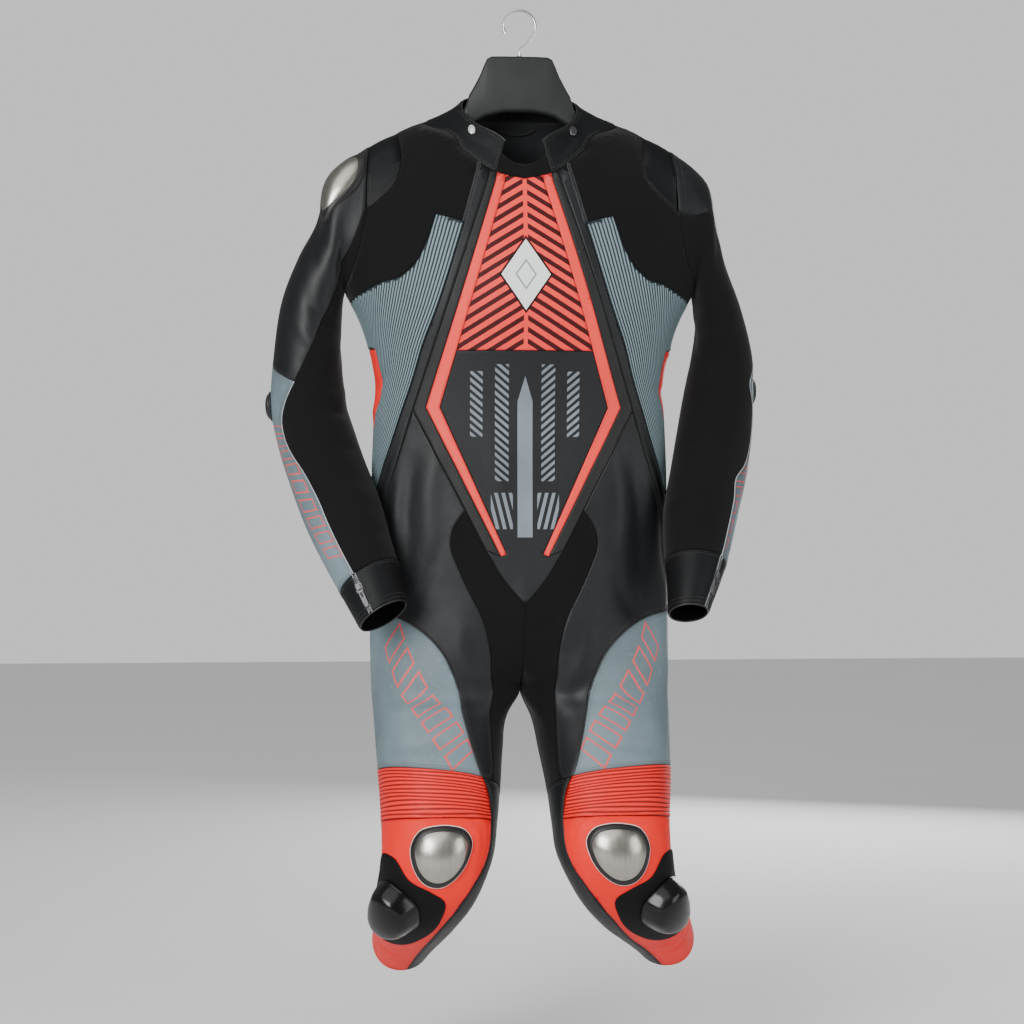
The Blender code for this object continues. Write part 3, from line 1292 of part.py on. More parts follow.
def hook_rings(radius=2.0, round_in=22.0, count=8):
    """A wire ring for each point of the hook's path, which ends in a stem."""
    centre = -round_in
    bend = round_in + radius
    path = [(bend * math.cos(turn), centre + bend * math.sin(turn))
            for turn in np.radians(np.linspace(205, -38, 20))]
    path += [(14.0, -43.5), (7.5, -50.0), (2.2, -55.0), (0.0, -60.0), (0.0, -66.6)]
    path = np.array(path)
    ahead = np.gradient(path, axis=0)
    ahead /= np.linalg.norm(ahead, axis=1)[:, None]
    rings = []
    for (x, z), (dx, dz) in zip(path, ahead):
        turns = np.linspace(0, 2 * math.pi, count, endpoint=False)
        side, depth = radius * np.cos(turns), radius * np.sin(turns)
        rings.append(np.stack([x - dz * side, depth, z + dx * side], axis=1) * MM)
    rings[-1][:, 2] = path[-1][1] * MM
    return [rings[0].mean(axis=0)] + rings + [rings[-1].mean(axis=0)]


stacked("hanger_hook", hook_rings(), WIRE, 60)
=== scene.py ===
"""Looks of a one-piece leather motorcycle race suit that hangs on a broad moulded hanger.

Every sewn piece is a thin shell on the garment's own surface.  Body, sleeves and collar are
smooth surfaces worked out from short tables of sections in millimetres, the same as the
solids', and listed creases, the turned seam edges and the stitched ribs are raised on
them.  The front faces -Y, the wearer's right is -X, and the hook's inside top is the origin.
"""
import math

import bmesh
import bpy
import numpy as np
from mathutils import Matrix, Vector
from mathutils.geometry import delaunay_2d_cdt


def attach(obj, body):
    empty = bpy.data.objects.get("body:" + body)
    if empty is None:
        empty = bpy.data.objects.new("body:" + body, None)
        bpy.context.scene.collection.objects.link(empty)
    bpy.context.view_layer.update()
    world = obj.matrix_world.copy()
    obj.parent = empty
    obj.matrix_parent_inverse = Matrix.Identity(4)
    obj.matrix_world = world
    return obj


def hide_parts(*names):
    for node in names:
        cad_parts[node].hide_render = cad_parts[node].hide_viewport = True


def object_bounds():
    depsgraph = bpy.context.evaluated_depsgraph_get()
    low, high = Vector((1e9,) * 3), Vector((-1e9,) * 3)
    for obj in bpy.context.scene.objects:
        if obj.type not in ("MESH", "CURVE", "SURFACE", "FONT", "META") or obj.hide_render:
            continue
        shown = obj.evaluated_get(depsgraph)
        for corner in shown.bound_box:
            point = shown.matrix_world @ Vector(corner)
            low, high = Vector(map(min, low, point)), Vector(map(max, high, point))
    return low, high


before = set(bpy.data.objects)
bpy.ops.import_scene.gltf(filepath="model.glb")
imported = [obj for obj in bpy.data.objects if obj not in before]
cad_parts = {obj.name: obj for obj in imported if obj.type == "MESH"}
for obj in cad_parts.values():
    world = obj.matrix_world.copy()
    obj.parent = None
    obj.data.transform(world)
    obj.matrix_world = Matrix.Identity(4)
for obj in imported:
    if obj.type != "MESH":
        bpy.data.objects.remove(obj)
CAD_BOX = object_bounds()

MM = 0.001
STEP = 7 * MM                   # spacing of points in a panel and along its seams
THICK = 1.7 * MM                # one layer of leather or stretch cloth
SEAM_GAP = 0.3 * MM
LIFT = 0.45 * MM                # between a panel and a hard piece that lies on it
SQUARE = 0.94                   # below 1 the body's sections are a little squared
SIDES = {"r": -1.0, "l": 1.0}
SUIT = "suit"
ANGLES = ("turn", "tilt", "angle")


def table(names, text):
    """The named columns of a table in millimetres, in metres, or as they stand for angles."""
    columns = np.array([row.split() for row in text.strip().split("\n")], float).T
    return {name: column * (1.0 if name in ANGLES else MM)
            for name, column in zip(names.split(), columns)}


# Body sections.  Above the crotch a section is level and open at the centre plane, below it
# is one leg's closed ring.  "turn" is half the angle that a half-body section spans.
TORSO = table("z x_out front back turn", """
-150 112 40 62 90
-155 118 42 63 90
-161 126 44 65 90
-175 163 49 69 90
-190 194 55 73 90
-206 226 61 77 90
-232 263 71 83 90
-260 288 81 88 90
-300 301 91 92 90
-345 300 100 93 90
-385 283 105 91 90
-423 262 107 88 90
-460 242 106 83 90
-510 225 99 75 90
-555 217 93 69 90
-610 218 88 68 90
-690 221 88 78 90
-780 223 90 97 90
-860 224 90 107 90
-910 224 89 108 98
-950 224 87 105 116
-985 223 86 100 142
-1014 222 85 96 180
""")
LEG = table("z y tilt front back in_r out_r in_l out_l", """
-1055 -20 12 83 88 22 219 16 221
-1100 -50 22 80 83 30 216 24 219
-1150 -84 27 78 78 36 212 32 214
-1200 -108 18 77 76 42 210 37 209
-1245 -118 -4 76 72 49 210 43 210
-1288 -104 -30 70 66 66 214 66 218
-1322 -66 -50 61 58 86 219 97 231
-1350 -20 -56 55 53 101 220 128 249
-1376 22 -57 51 50 117 219 157 264
-1402 62 -57 48 48 132 219 184 275
""")
TORSO_ROWS = len(TORSO["z"])

# The neck seam and the collar's upper edge, by the angle round the neck from the front.
COLLAR = table("angle base_x base_z top_x top_y top_z", """
0 0 -262 0 -74 -240
20 44 -251 30 -68 -202
45 90 -217 68 -44 -176
68 114 -188 84 -16 -155
90 124 -163 87 10 -137
135 84 -153 66 45 -121
180 0 -151 0 60 -113
""")

# Sleeve sections, shoulder to cuff: the outer and inner points of each ring seen from the
# front, its depth behind or before the hook, and half its thickness front to back.
SLEEVE_COLUMNS = "out_x out_z in_x in_z y half"
SLEEVES = {"r": table(SLEEVE_COLUMNS, """
262 -231 262 -427 2 62
288 -262 263 -432 2 62
304 -322 264 -440 2 60
331 -374 265 -455 2 58
356 -442 266 -490 3 57
368 -530 264 -545 4 56
371 -592 258 -592 4 57
362 -645 246 -632 -4 58
345 -702 232 -674 -24 57
318 -774 211 -730 -62 53
290 -830 197 -784 -96 47
262 -880 184 -832 -122 41
241 -917 174 -878 -142 36
"""), "l": table(SLEEVE_COLUMNS, """
262 -231 262 -422 2 62
287 -262 263 -427 2 62
298 -322 264 -435 2 60
309 -374 266 -450 2 57
335 -442 267 -478 3 56
352 -510 261 -520 4 56
355 -572 250 -570 4 57
351 -632 239 -622 -6 58
340 -692 224 -686 -30 57
321 -748 208 -746 -66 52
298 -815 203 -806 -104 45
279 -858 203 -850 -130 39
260 -896 201 -894 -150 34
""")}
ARMHOLE = table("x z", """
226 -206
230 -262
233 -320
243 -378
262 -423
""")


def smooth(keys, values, at):
    """Cubic through (keys, values) with slopes from the neighbouring rows."""
    at = np.clip(np.asarray(at, float), keys[0], keys[-1])
    slopes = np.gradient(values, keys)
    i = np.clip(np.searchsorted(keys, at) - 1, 0, len(keys) - 2)
    gap = keys[i + 1] - keys[i]
    u = (at - keys[i]) / gap
    return (values[i] * (1 + 2 * u) * (1 - u) ** 2 + values[i + 1] * u * u * (3 - 2 * u)
            + slopes[i] * gap * u * (1 - u) ** 2 - slopes[i + 1] * gap * u * u * (1 - u))


def straight(keys, values, at):
    return np.interp(at, keys, values)


def columns(*parts):
    return np.stack(parts, axis=-1)


def curve(keys, points, at, kind=smooth):
    """Places with two coordinates along a curve through points at these keys."""
    return columns(*(kind(keys, points[:, i], at) for i in range(2)))


def size(vectors):
    return np.linalg.norm(vectors, axis=-1)


def unit(vectors):
    return vectors / np.maximum(size(vectors), 1e-9)[..., None]


def lengths(points):
    """Distance along a polyline to each of its points."""
    return np.append(0.0, np.cumsum(size(np.diff(points, axis=0))))


def signed_power(value, power=SQUARE):
    return np.sign(value) * np.abs(value) ** power


class Surface:
    """A smooth surface of two parameters, with its outward normal by differences."""

    flip = 1.0
    nudge = (0.004, 0.001)
    scale = (1.0, 1.0)          # metres on the cloth for one step of each parameter

    def flat(self, at):
        """Parameters laid out nearly true to scale, in metres."""
        return at * np.array(self.scale)

    def unflat(self, flat):
        return flat / np.array(self.scale)

    def slopes(self, a, b):
        """How the place moves for a whole step of each parameter."""
        da, db = self.nudge
        along_a = (self.point(a + da, b) - self.point(a - da, b)) / (2 * da)
        along_b = (self.point(a, b + db) - self.point(a, b - db)) / (2 * db)
        return along_a, along_b

    def normal(self, a, b):
        along_a, along_b = self.slopes(a, b)
        return unit(np.cross(along_b, along_a) * self.flip)

    def shift(self, at, moves):
        """Parameters after a small move in space along the cloth."""
        p, q = self.slopes(at[:, 0], at[:, 1])
        pp, pq, qq = ((x * y).sum(axis=1) for x, y in ((p, p), (p, q), (q, q)))
        pm, qm = (p * moves).sum(axis=1), (q * moves).sum(axis=1)
        area = np.maximum(pp * qq - pq * pq, 1e-9)
        return at + columns((pm * qq - qm * pq) / area, (qm * pp - pm * pq) / area)


class Body(Surface):
    """Torso and legs: a is 0 at the front, 1 or -1 at a side and 2 at the back, t runs down."""

    def __init__(self, about=0.0):
        self.about = about
        still = np.zeros(TORSO_ROWS)
        torso = dict(TORSO, y=still, tilt=still, in_r=still, in_l=still,
                     out_r=TORSO["x_out"], out_l=TORSO["x_out"])
        leg = dict(LEG, turn=np.full(len(LEG["z"]), 180.0))
        self.rows = {name: np.append(torso[name], leg[name]) for name in leg}
        self.t = -self.rows["z"][0] + lengths(columns(self.rows["z"], self.rows["y"]))
        a = np.linspace(0.001, 1.999, 60)
        rings = [self.point(a, np.full(60, t)) for t in self.t]
        self.girth = [size(np.diff(ring, axis=0)).sum() / 2 for ring in rings]

    def row(self, name, t):
        return smooth(self.t, self.rows[name], t)

    def flat(self, at):
        girth = np.interp(at[:, 1], self.t, self.girth)
        return columns((at[:, 0] - self.about) * girth, at[:, 1])

    def unflat(self, flat):
        girth = np.interp(flat[:, 1], self.t, self.girth)
        return columns(flat[:, 0] / girth + self.about, flat[:, 1])

    def section(self, right, t):
        """Half width, centre x and half angle of the section at t, on the right or left."""
        outer = np.where(right, self.row("out_r", t), self.row("out_l", t))
        inner = np.where(right, self.row("in_r", t), self.row("in_l", t))
        inner = np.where(t < self.t[TORSO_ROWS - 1], 0.0, inner)
        turn = np.radians(np.clip(self.row("turn", t), 90.0, 180.0))
        width = (outer - inner) / (1.0 - signed_power(np.cos(turn)))
        return width, outer - width, turn

    def point(self, a, b):
        a, t = np.asarray(a, float), np.asarray(b, float)
        a = np.mod(a + 2.0, 4.0) - 2.0
        right = a < 0
        width, middle, turn = self.section(right, t)
        angle = (np.abs(a) - 1.0) * turn
        across = middle + width * signed_power(np.cos(angle))
        depth = np.where(angle < 0, self.row("front", t), self.row("back", t))
        behind = depth * signed_power(np.sin(angle))
        tilt = np.radians(self.row("tilt", t))
        return columns(np.where(right, -across, across), self.row("y", t) + behind * np.cos(tilt),
                       self.row("z", t) - behind * np.sin(tilt))

    def seen_at(self, x, z):
        """The (a, t) of the front point that has this x (0 or more) and z."""
        t = np.interp(-z, -self.rows["z"], self.t)
        for _ in range(12):
            width, middle, turn = self.section(np.zeros(len(t), bool), t)
            reach = np.clip((x - middle) / width, -1.0, 1.0)
            angle = np.arccos(np.clip(signed_power(reach, 1 / SQUARE), -1.0, 1.0))
            a = 1.0 - angle / turn
            t = t + (self.point(a, t)[:, 2] - z) * 0.9
        return columns(a, t)


BODY = Body()
BACK = Body(about=2.0)
CROTCH = BODY.t[TORSO_ROWS - 1]
HEM = BODY.t[-1]


def quarters_at(x, t):
    """Quarter turns from the front to where the section at t reaches x."""
    width, middle, _ = BODY.section(np.zeros(len(t), bool), t)
    reach = np.clip((x - middle) / width, 0.0, 1.0)
    return np.arcsin(signed_power(reach, 1 / SQUARE)) / (math.pi / 2)


class Sleeve(Surface):
    """u is 0 at the shoulder, 1 at the front, 2 at the armpit, 3 at the back; v counts rings."""

    nudge = (0.01, 0.02)
    scale = (0.085, 0.055)

    def __init__(self, side):
        self.sign = SIDES[side]
        self.flip = -self.sign
        rows = SLEEVES[side]
        outer = columns(rows["out_x"], rows["y"], rows["out_z"])
        inner = columns(rows["in_x"], rows["y"], rows["in_z"])
        self.middle = (outer + inner) / 2
        self.across = (outer - inner) / 2
        front = unit(np.cross(self.across, np.gradient(self.middle, axis=0)))
        self.front = front * (-np.sign(front[:, 1]) * rows["half"])[:, None]
        self.last = float(len(self.middle))

    def armhole(self, u):
        """Body parameters of the armhole, for u in quarter turns; a is 0 or more."""
        turn = np.asarray(u, float) * math.pi / 2
        z = ARMHOLE["z"]
        t = -(z[0] + (z[-1] - z[0]) * (1 - np.cos(turn)) / 2)
        quarter = quarters_at(smooth(-z, ARMHOLE["x"], t), t)
        return np.where(np.sin(turn) >= 0, quarter, 2.0 - quarter), t

    def ring(self, k, u):
        turn = u * math.pi / 2
        i = np.clip(k - 1, 0, len(self.middle) - 1)
        loop = (self.middle[i] + self.across[i] * np.cos(turn)[:, None]
                + self.front[i] * np.sin(turn)[:, None])
        return np.where((k <= 0)[:, None], BODY.point(*self.armhole(u)), loop)

    def point(self, a, b):
        u, v = np.asarray(a, float), np.clip(np.asarray(b, float), 0.0, self.last)
        k = np.minimum(v.astype(int), int(self.last) - 1)
        f = (v - k)[:, None]
        p1, p2 = self.ring(k, u), self.ring(k + 1, u)
        before = np.where((k > 0)[:, None], self.ring(k - 1, u), 2 * p1 - p2)
        end = (k + 2 > self.last)[:, None]
        after = np.where(end, 2 * p2 - p1, self.ring(np.minimum(k + 2, int(self.last)), u))
        bend = 2 * before - 5 * p1 + 4 * p2 - after + f * (3 * (p1 - p2) + after - before)
        return (p1 + 0.5 * f * (p2 - before + f * bend)) * np.array([self.sign, 1.0, 1.0])


def turn_back(angle):
    """An angle in degrees brought between -180 and 180, and its size."""
    turned = np.mod(np.asarray(angle, float) + 180.0, 360.0) - 180.0
    return turned, np.abs(turned)


class Collar(Surface):
    """a is the angle round the neck in degrees, 0 at the front; b is 0 at the seam, 1 on top."""

    nudge = (0.5, 0.01)
    scale = (0.0023, 0.045)
    flip = -1.0

    def __init__(self):
        self.keys, self.t = COLLAR["angle"], -COLLAR["base_z"]
        quarter = quarters_at(COLLAR["base_x"], self.t)
        quarter[self.keys == 90] = 1.0
        self.a = np.where(self.keys > 90, 2.0 - quarter, quarter)

    def seam(self, angle):
        """Body parameters of the neck seam at these angles."""
        turned, about = turn_back(angle)
        a = smooth(self.keys, self.a, about)
        return np.where(turned < 0, -a, a), smooth(self.keys, self.t, about)

    def point(self, a, b):
        turned, about = turn_back(a)
        base = BODY.point(*self.seam(turned))
        top = columns(*(smooth(self.keys, COLLAR[name], about)
                        for name in ("top_x", "top_y", "top_z")))
        top[:, 0] *= np.where(turned < 0, -1.0, 1.0)
        return base + (top - base) * np.asarray(b, float)[:, None]


SLEEVE = {side: Sleeve(side) for side in SIDES}
COLLAR_BAND = Collar()

# Seams seen from the front: name, line or curve, the corners that its ends are moved to, and
# its places as x out from the centre and z, in millimetres.
FRONT_SEAMS = """
kite_top line kite_in -  27 -261  100.3 -515
kite_low line - -  100.3 -515  124 -597  27 -812
kite_split line - -  100.3 -515  0 -515
band_out line band_out -  40 -258  144 -597  35 -815
border_upper line border_upper -  51 -254  163 -600
zip_upper line zip_upper -  66 -243  89 -327
band_end line - -  27 -812  35 -815
border_end line - -  35 -815  57 -806
border_hip line - -  163 -600  87 -747
border_groin line - -  87 -747  57 -806
vee curve - vee  57 -806  30 -850  0 -886
zip_lower curve - tip  89 -327  131 -459  147 -501  164 -559  178 -600  192 -643  208 -691  217 -725
zip_inner curve - cap  163 -600  174 -636  184 -669  197 -710  212 -768
rib_slant line - -  89 -327  130 -315
rib_curve curve - -  130 -315  146 -361  163 -391  184 -408  210 -415  238 -429
shoulder_front curve shoulder hole_front  184 -190  179 -235  187 -266  207 -288  229 -306
thigh_front curve hip knee  221 -897  188 -903  143 -930  119 -957  103 -990 \
    90 -1034  79 -1079  71 -1108  64 -1128
groin_out curve - groin  87 -747  106 -779  108 -802  100 -825  86 -857 \
    74 -881  62 -906  52 -944  47 -996  45 -1054  45 -1122
"""

# Seams by body parameters, a in quarter turns from the front and t in metres down.
BODY_SEAMS = """
side  side_back  side_front
side_red_front  side_front  0.82 0.535  0.82 0.57  0.88 0.6  side_end
side_red_back  side_back  1.14 0.56  1.06 0.605  side_end
side_low  side_end  0.98 0.66  waist
side_tip  waist  tip
zip_end  tip  0.93 0.752  zip_foot
zip_cap  zip_foot  cap
waist  waist  1.3 0.7  2 0.7
hip_side  cap  1.02 0.84  hip
seat_edge  seat  1.6 0.99  crotch_back
ridge  ridge  shoulder
rib_side  rib_end  armpit_low
rib_under  armpit_low  rib_back
rib_back  rib_back  side_back
armpit  armpit  armpit_low
thigh_top_back  thigh_back  hip
thigh_edge_high  thigh_back  seat
thigh_edge_low  seat  knee_back
knee_back_high  knee_back  ribs_back
knee_back_low  ribs_back  hem
hip_hem  knee  groin
groin_hem  groin  groin_middle
centre_high  vee  crotch
centre_low  crotch  groin_middle
hem_front  shin  hem
hem_back  hem  shin_round
knee_top  knee  0.449 1.178  0.605 1.172  0.925 1.151  knee_back
ribs_end  ribs  0.6 1.233  1 1.226  ribs_back
knee_inner_high  knee  0.205 1.205  ribs
knee_inner_low  ribs  0.169 1.256  0.199 1.276  0.282 1.297  0.358 1.318  0.412 1.345 \
    0.44 1.39  shin
shoulder_back  shoulder  1.34 0.203  1.46 0.235  1.49 0.27  hole_back
"""

# Where seams meet, in body parameters.
BACK_EDGE, SHIN_EDGE = 1.32, 0.45
CORNERS = {
    "side_back": (1.15, 0.508), "side_front": (0.83, 0.51), "side_end": (0.97, 0.63),
    "waist": (0.96, 0.69), "tip": (0.87, 0.725), "zip_foot": (0.99, 0.775), "cap": (0.97, 0.79),
    "hip": (1.04, 0.893), "seat": (BACK_EDGE, 0.955), "crotch_back": (2.0, CROTCH),
    "crotch": (0.0, CROTCH), "vee": (0.0, 0.886), "groin_middle": (0.0, 1.182),
    "groin": (0.19, 1.182), "knee": (0.271, 1.181), "ribs": (0.171, 1.232),
    "shin": (SHIN_EDGE, HEM), "shin_round": (2.0 + SHIN_EDGE, HEM), "hem": (BACK_EDGE, HEM),
    "thigh_back": (BACK_EDGE, 0.885), "knee_back": (BACK_EDGE, 1.125),
    "ribs_back": (BACK_EDGE, 1.212), "shoulder": (1.0, 0.186), "armpit_low": (1.0, 0.44),
    "rib_back": (1.15, 0.44),
}
NECK_STOPS = {"kite_in": 12.0, "band_out": 18.0, "border_upper": 23.0, "zip_upper": 31.0,
              "ridge": 90.0}
STOPS = sorted(NECK_STOPS.values())
SPLIT = 85.0 / 90.0             # quarter turns from the armhole's top to the shoulder's seams
ARMHOLES = {"top": (SPLIT, -SPLIT), "front": (SPLIT, 2.0), "back": (2.0, 4.0 - SPLIT)}


def pairs_in(words, corners=()):
    """Places given as pairs of numbers or by a corner's name."""
    words, found = iter(words), []
    for word in words:
        found.append(corners[word] if word in corners else (float(word), float(next(words))))
    return found


def named_rows(text, corners=()):
    rows = (row.split() for row in text.strip().split("\n"))
    return {row[0]: pairs_in(row[1:], corners) for row in rows}


# Sleeve seams: ring number and the angle round the ring in degrees, 0 at the outer edge.
SLEEVE_SEAMS = {"r": named_rows("""
front  0 85  0.4 106  1 120  3 127  4.5 119  5.2 105  5.85 86  6.4 69
back  0 -85  1 -92  3 -98  6.3 -100
elbow  6.4 69  6.2 35  6.05 0  6.05 -50  6.3 -100
forearm_front  6.4 69  6.65 62  7.1 50  7.74 38  8.2 37  8.73 43 \
    9.3 55  9.9 63  10.4 64  11 66  11.75 70
forearm_back  6.3 -100  8.5 -98  11.75 -90
"""), "l": named_rows("""
front  0 85  0.8 82  1.6 70  3 40  4 20  5.85 12  6.4 22
back  0 -85  1 -96  3 -135  4.5 -160  5.6 -150  6.3 -130
elbow  6.4 22  6.2 0  6.1 -50  6.3 -130
forearm_front  6.4 22  6.75 38  7.3 26  8.3 24  9 32  9.55 47  10 40  10.7 42  11.3 44
forearm_back  6.3 -130  8.5 -125  11.3 -120
""")}
# Where the cuff begins, by ring, and its slit, by degrees.
CUFFS = {side: SLEEVE_SEAMS[side]["forearm_front"][-1] for side in SIDES}


def resample(points, step, surface):
    """Points at about this spacing along a polyline of a surface's parameters."""
    length = lengths(surface.flat(points))
    count = max(1, int(round(length[-1] / step)))
    return curve(length, points, np.linspace(0.0, length[-1], count + 1), straight)


def rounded(points, count=60):
    """A smooth curve through these points."""
    points = np.array(points, float)
    keys = lengths(points)
    return curve(keys, points, np.linspace(0.0, keys[-1], count))


class Half(Body):
    """One side of the body: a runs from 0 at the front past 2, where a leg closes on itself."""

    def __init__(self, side):
        self.sign = self.flip = SIDES[side]
        super().__init__(about=1.0)

    def point(self, a, b):
        a, t = np.asarray(a, float), np.asarray(b, float)
        a = np.where(t < self.t[TORSO_ROWS - 1], np.clip(a, 0.0, 2.0), np.mod(a, 2.0))
        return super().point(self.sign * np.maximum(a, 1e-9), t)


HALF = {side: Half(side) for side in SIDES}


def seam(points, surface):
    """Rows of (a, b, wall direction) along a seam; a direction is shared where two cloths meet."""
    at = resample(points, STEP, surface)
    return np.hstack([at, np.full((len(at), 3), np.nan)])


def front_rows():
    """Each front seam's name, with its kind, the corners that it ends at and its points."""
    for row in FRONT_SEAMS.strip().split("\n"):
        name, kind, first, last, *words = row.split()
        yield name, (kind, first, last, np.array(pairs_in(words)) * MM)


def front_seam(kind, first, last, points, corners):
    """A seam given by x and z, as body parameters."""
    runs = [rounded(points)] if kind == "curve" else [
        np.linspace(start, end, 40) for start, end in zip(points, points[1:])]
    runs = [BODY.seen_at(*run.T) for run in runs]
    runs[0][0] = corners.get(first, runs[0][0])
    runs[-1][-1] = corners.get(last, runs[-1][-1])
    rows = [seam(run, BODY) for run in runs]
    return np.vstack([row[:-1] for row in rows] + [rows[-1][-1:]])


def fine_line(points):
    return rounded(points) if len(points) > 2 else np.linspace(*points, 30)


def chain(*pieces):
    """Join seams end to end into one closed loop, turning each to fit the one before."""
    loop = pieces[0]
    ends = pieces[1][[0, -1], :2]
    if min(size(ends - loop[0, :2])) < min(size(ends - loop[-1, :2])) - 1e-9:
        loop = loop[::-1]
    for piece in pieces[1:]:
        ends = size(piece[[0, -1], :2] - loop[-1, :2])
        if ends[1] < ends[0]:
            piece = piece[::-1]
        if min(ends) > 1e-6:
            raise ValueError("seams do not meet: %s %s" % (loop[-1, :2], piece[0, :2]))
        loop = np.vstack([loop[:-1], piece] if np.isnan(loop[-1, 2]) else [loop, piece[1:]])
    return loop[:-1] if not np.isnan(loop[0, 2]) else loop[1:]


def body_seams(side):
    """Every seam of one side of the body, by name, as rows of (a, t, wall direction)."""
    corners = dict(CORNERS)
    for name, angle in NECK_STOPS.items():
        corners[name] = tuple(columns(*COLLAR_BAND.seam([angle]))[0])
    for name, turn in (("hole_front", SPLIT), ("hole_back", -SPLIT), ("armpit", 2.0)):
        corners[name] = tuple(columns(*SLEEVE[side].armhole([turn]))[0])
    seams = {}
    for name, row in front_rows():
        seams[name] = front_seam(*row, corners)
    corners["rib_end"] = tuple(seams["rib_curve"][-1, :2])
    for name, points in named_rows(BODY_SEAMS, corners).items():
        seams[name] = seam(fine_line(points), BODY)
    for name, ends in ARMHOLES.items():
        seams["armhole_" + name] = armhole_seam(side, *ends)[0]
    for name, start, end in zip(("band", "border", "zip", "chest"), STOPS, STOPS[1:]):
        seams["neck_" + name] = neck_seam(start, end, side)[0]
    return seams


def armhole_seam(side, first, last):
    """The same points of an armhole as body rows and as sleeve rows, with one wall direction."""
    count = max(2, int(round(abs(last - first) * 0.155 / STEP)))
    u = np.linspace(first, last, count + 1)
    a, t = SLEEVE[side].armhole(u)
    out = unit(HALF[side].normal(a, t) + SLEEVE[side].normal(u, np.full(len(u), 0.03)))
    return np.column_stack([a, t, out]), np.column_stack([u, np.zeros(len(u)), out])


def neck_seam(first, last, side="l"):
    """The same points of the neck seam as body rows and as collar rows."""
    count = max(1, int(round(abs(last - first) * 0.0022 / STEP)))
    angle = np.linspace(first, last, count + 1)
    a, t = COLLAR_BAND.seam(angle)
    ring = angle * SIDES[side]
    out = unit(BODY.normal(a * SIDES[side], t) + COLLAR_BAND.normal(ring, np.full(len(a), 0.03)))
    return np.column_stack([a, t, out]), np.column_stack([ring, np.zeros(len(a)), out])


def other_side(rows, about=0.0):
    """Rows of the right side in the parameters of a piece that crosses the centre."""
    turned = rows.copy()
    turned[:, 0] = 2 * about - rows[:, 0]
    return turned


def inside(points, loop):
    """Which points lie inside a closed loop, by counting crossings."""
    x, y = points[:, :1], points[:, 1:2]
    x0, y0 = loop.T
    x1, y1 = np.roll(loop, -1, axis=0).T
    crosses = (y0 > y) != (y1 > y)
    at = x0 + (y - y0) * (x1 - x0) / np.where(y1 == y0, 1e-12, y1 - y0)
    return (crosses & (x < at)).sum(axis=1) % 2 == 1


def clearance(points, loop):
    """Distance of each point to the nearest edge of a closed loop."""
    along = (np.roll(loop, -1, axis=0) - loop)[None]
    reach = points[:, None] - loop[None]
    share = (reach * along).sum(axis=2) / np.maximum((along ** 2).sum(axis=2), 1e-16)
    gap = reach - np.clip(share, 0.0, 1.0)[:, :, None] * along
    return np.sqrt((gap ** 2).sum(axis=2)).min(axis=1)


def well_inside(points, loop, distance):
    keep = inside(points, loop)
    keep[keep] = clearance(points[keep], loop) > distance
    return keep


def filling(loop, step, keep_off, edge):
    """Evenly spread points inside a loop, clear of its edge and of other points."""
    low, high = loop.min(axis=0), loop.max(axis=0)
    grid = []
    for j in range(int((high[1] - low[1]) / (step * 0.87)) + 2):
        x = np.arange(low[0] + (j % 2) * step / 2, high[0], step)
        grid.append(columns(x, np.full(len(x), low[1] + j * step * 0.87)))
    grid = np.vstack(grid)
    grid = grid[inside(grid, loop)]
    keep = [np.zeros((0, 2))]
    for first in range(0, len(grid), 3000):
        some = grid[first:first + 3000]
        some = some[clearance(some, loop) > edge]
        if len(some):
            gap = np.sqrt(((some[:, None] - keep_off[None]) ** 2).sum(axis=2)).min(axis=1)
            keep.append(some[gap > step * 0.45])
    return np.vstack(keep)


def triangles(loop, extra, lines):
    """Triangles over a loop, extra points and nets of (points, edges), in their order."""
    edges = [(i, (i + 1) % len(loop)) for i in range(len(loop))]
    count = len(loop) + len(extra)
    for points, links in lines:
        edges += [(count + i, count + k) for i, k in links]
        count += len(points)
    verts = np.vstack([loop, extra] + [points for points, _ in lines])
    made = delaunay_2d_cdt([Vector(v) for v in verts], edges, [], 0, 1e-9, True)
    origin = [ids[0] if ids else -1 for ids in made[3]]
    if len(origin) != len(verts) or -1 in origin:
        raise ValueError("lines cross in %d places" % origin.count(-1))
    faces = np.array([[origin[i] for i in face] for face in made[2]])
    return faces[inside(verts[faces].mean(axis=1), loop)]


def facing(faces, place, out):
    """Turn triangles so that they face along the outward directions."""
    a, b, c = (place[faces[:, i]] for i in range(3))
    normal = np.cross(b - a, c - a)
    wrong = (normal * out[faces].mean(axis=1)).sum(axis=1).sum() < 0
    return faces[:, ::-1] if wrong else faces


def rounded_outline(width, height, count=16, power=2.6, lean=0.0):
    """A superellipse outline, wider at the top by lean."""
    turns = 2 * math.pi * np.arange(count) / count
    x, y = (signed_power(part, 2 / power) for part in (np.cos(turns), np.sin(turns)))
    return columns(x * width / 2 * (1 - lean * y), y * height / 2)


def smooth_outline(points, count):
    """Evenly spaced points on a closed smooth curve through these."""
    around = np.vstack([points[-2:], points, points[:3]])
    keys = lengths(around)
    at = np.linspace(keys[2], keys[2 + len(points)], count, endpoint=False)
    return curve(keys, around, at)


def step_sizes(surface, at):
    """Metres on the cloth for a whole step of each parameter."""
    return np.array([size(slope)[0] for slope in surface.slopes(*np.array(at)[:, None])])


def local_frame(surface, a, b):
    """Place, direction along the cloth, outward direction and the direction across both."""
    at = np.array([a]), np.array([b])
    step = surface.nudge[1]
    place, out = surface.point(*at)[0], surface.normal(*at)[0]
    ahead = surface.point(at[0], at[1] + step)[0] - surface.point(at[0], at[1] - step)[0]
    ahead = unit(ahead - out * np.dot(ahead, out))
    return place, ahead, out, np.cross(ahead, out)


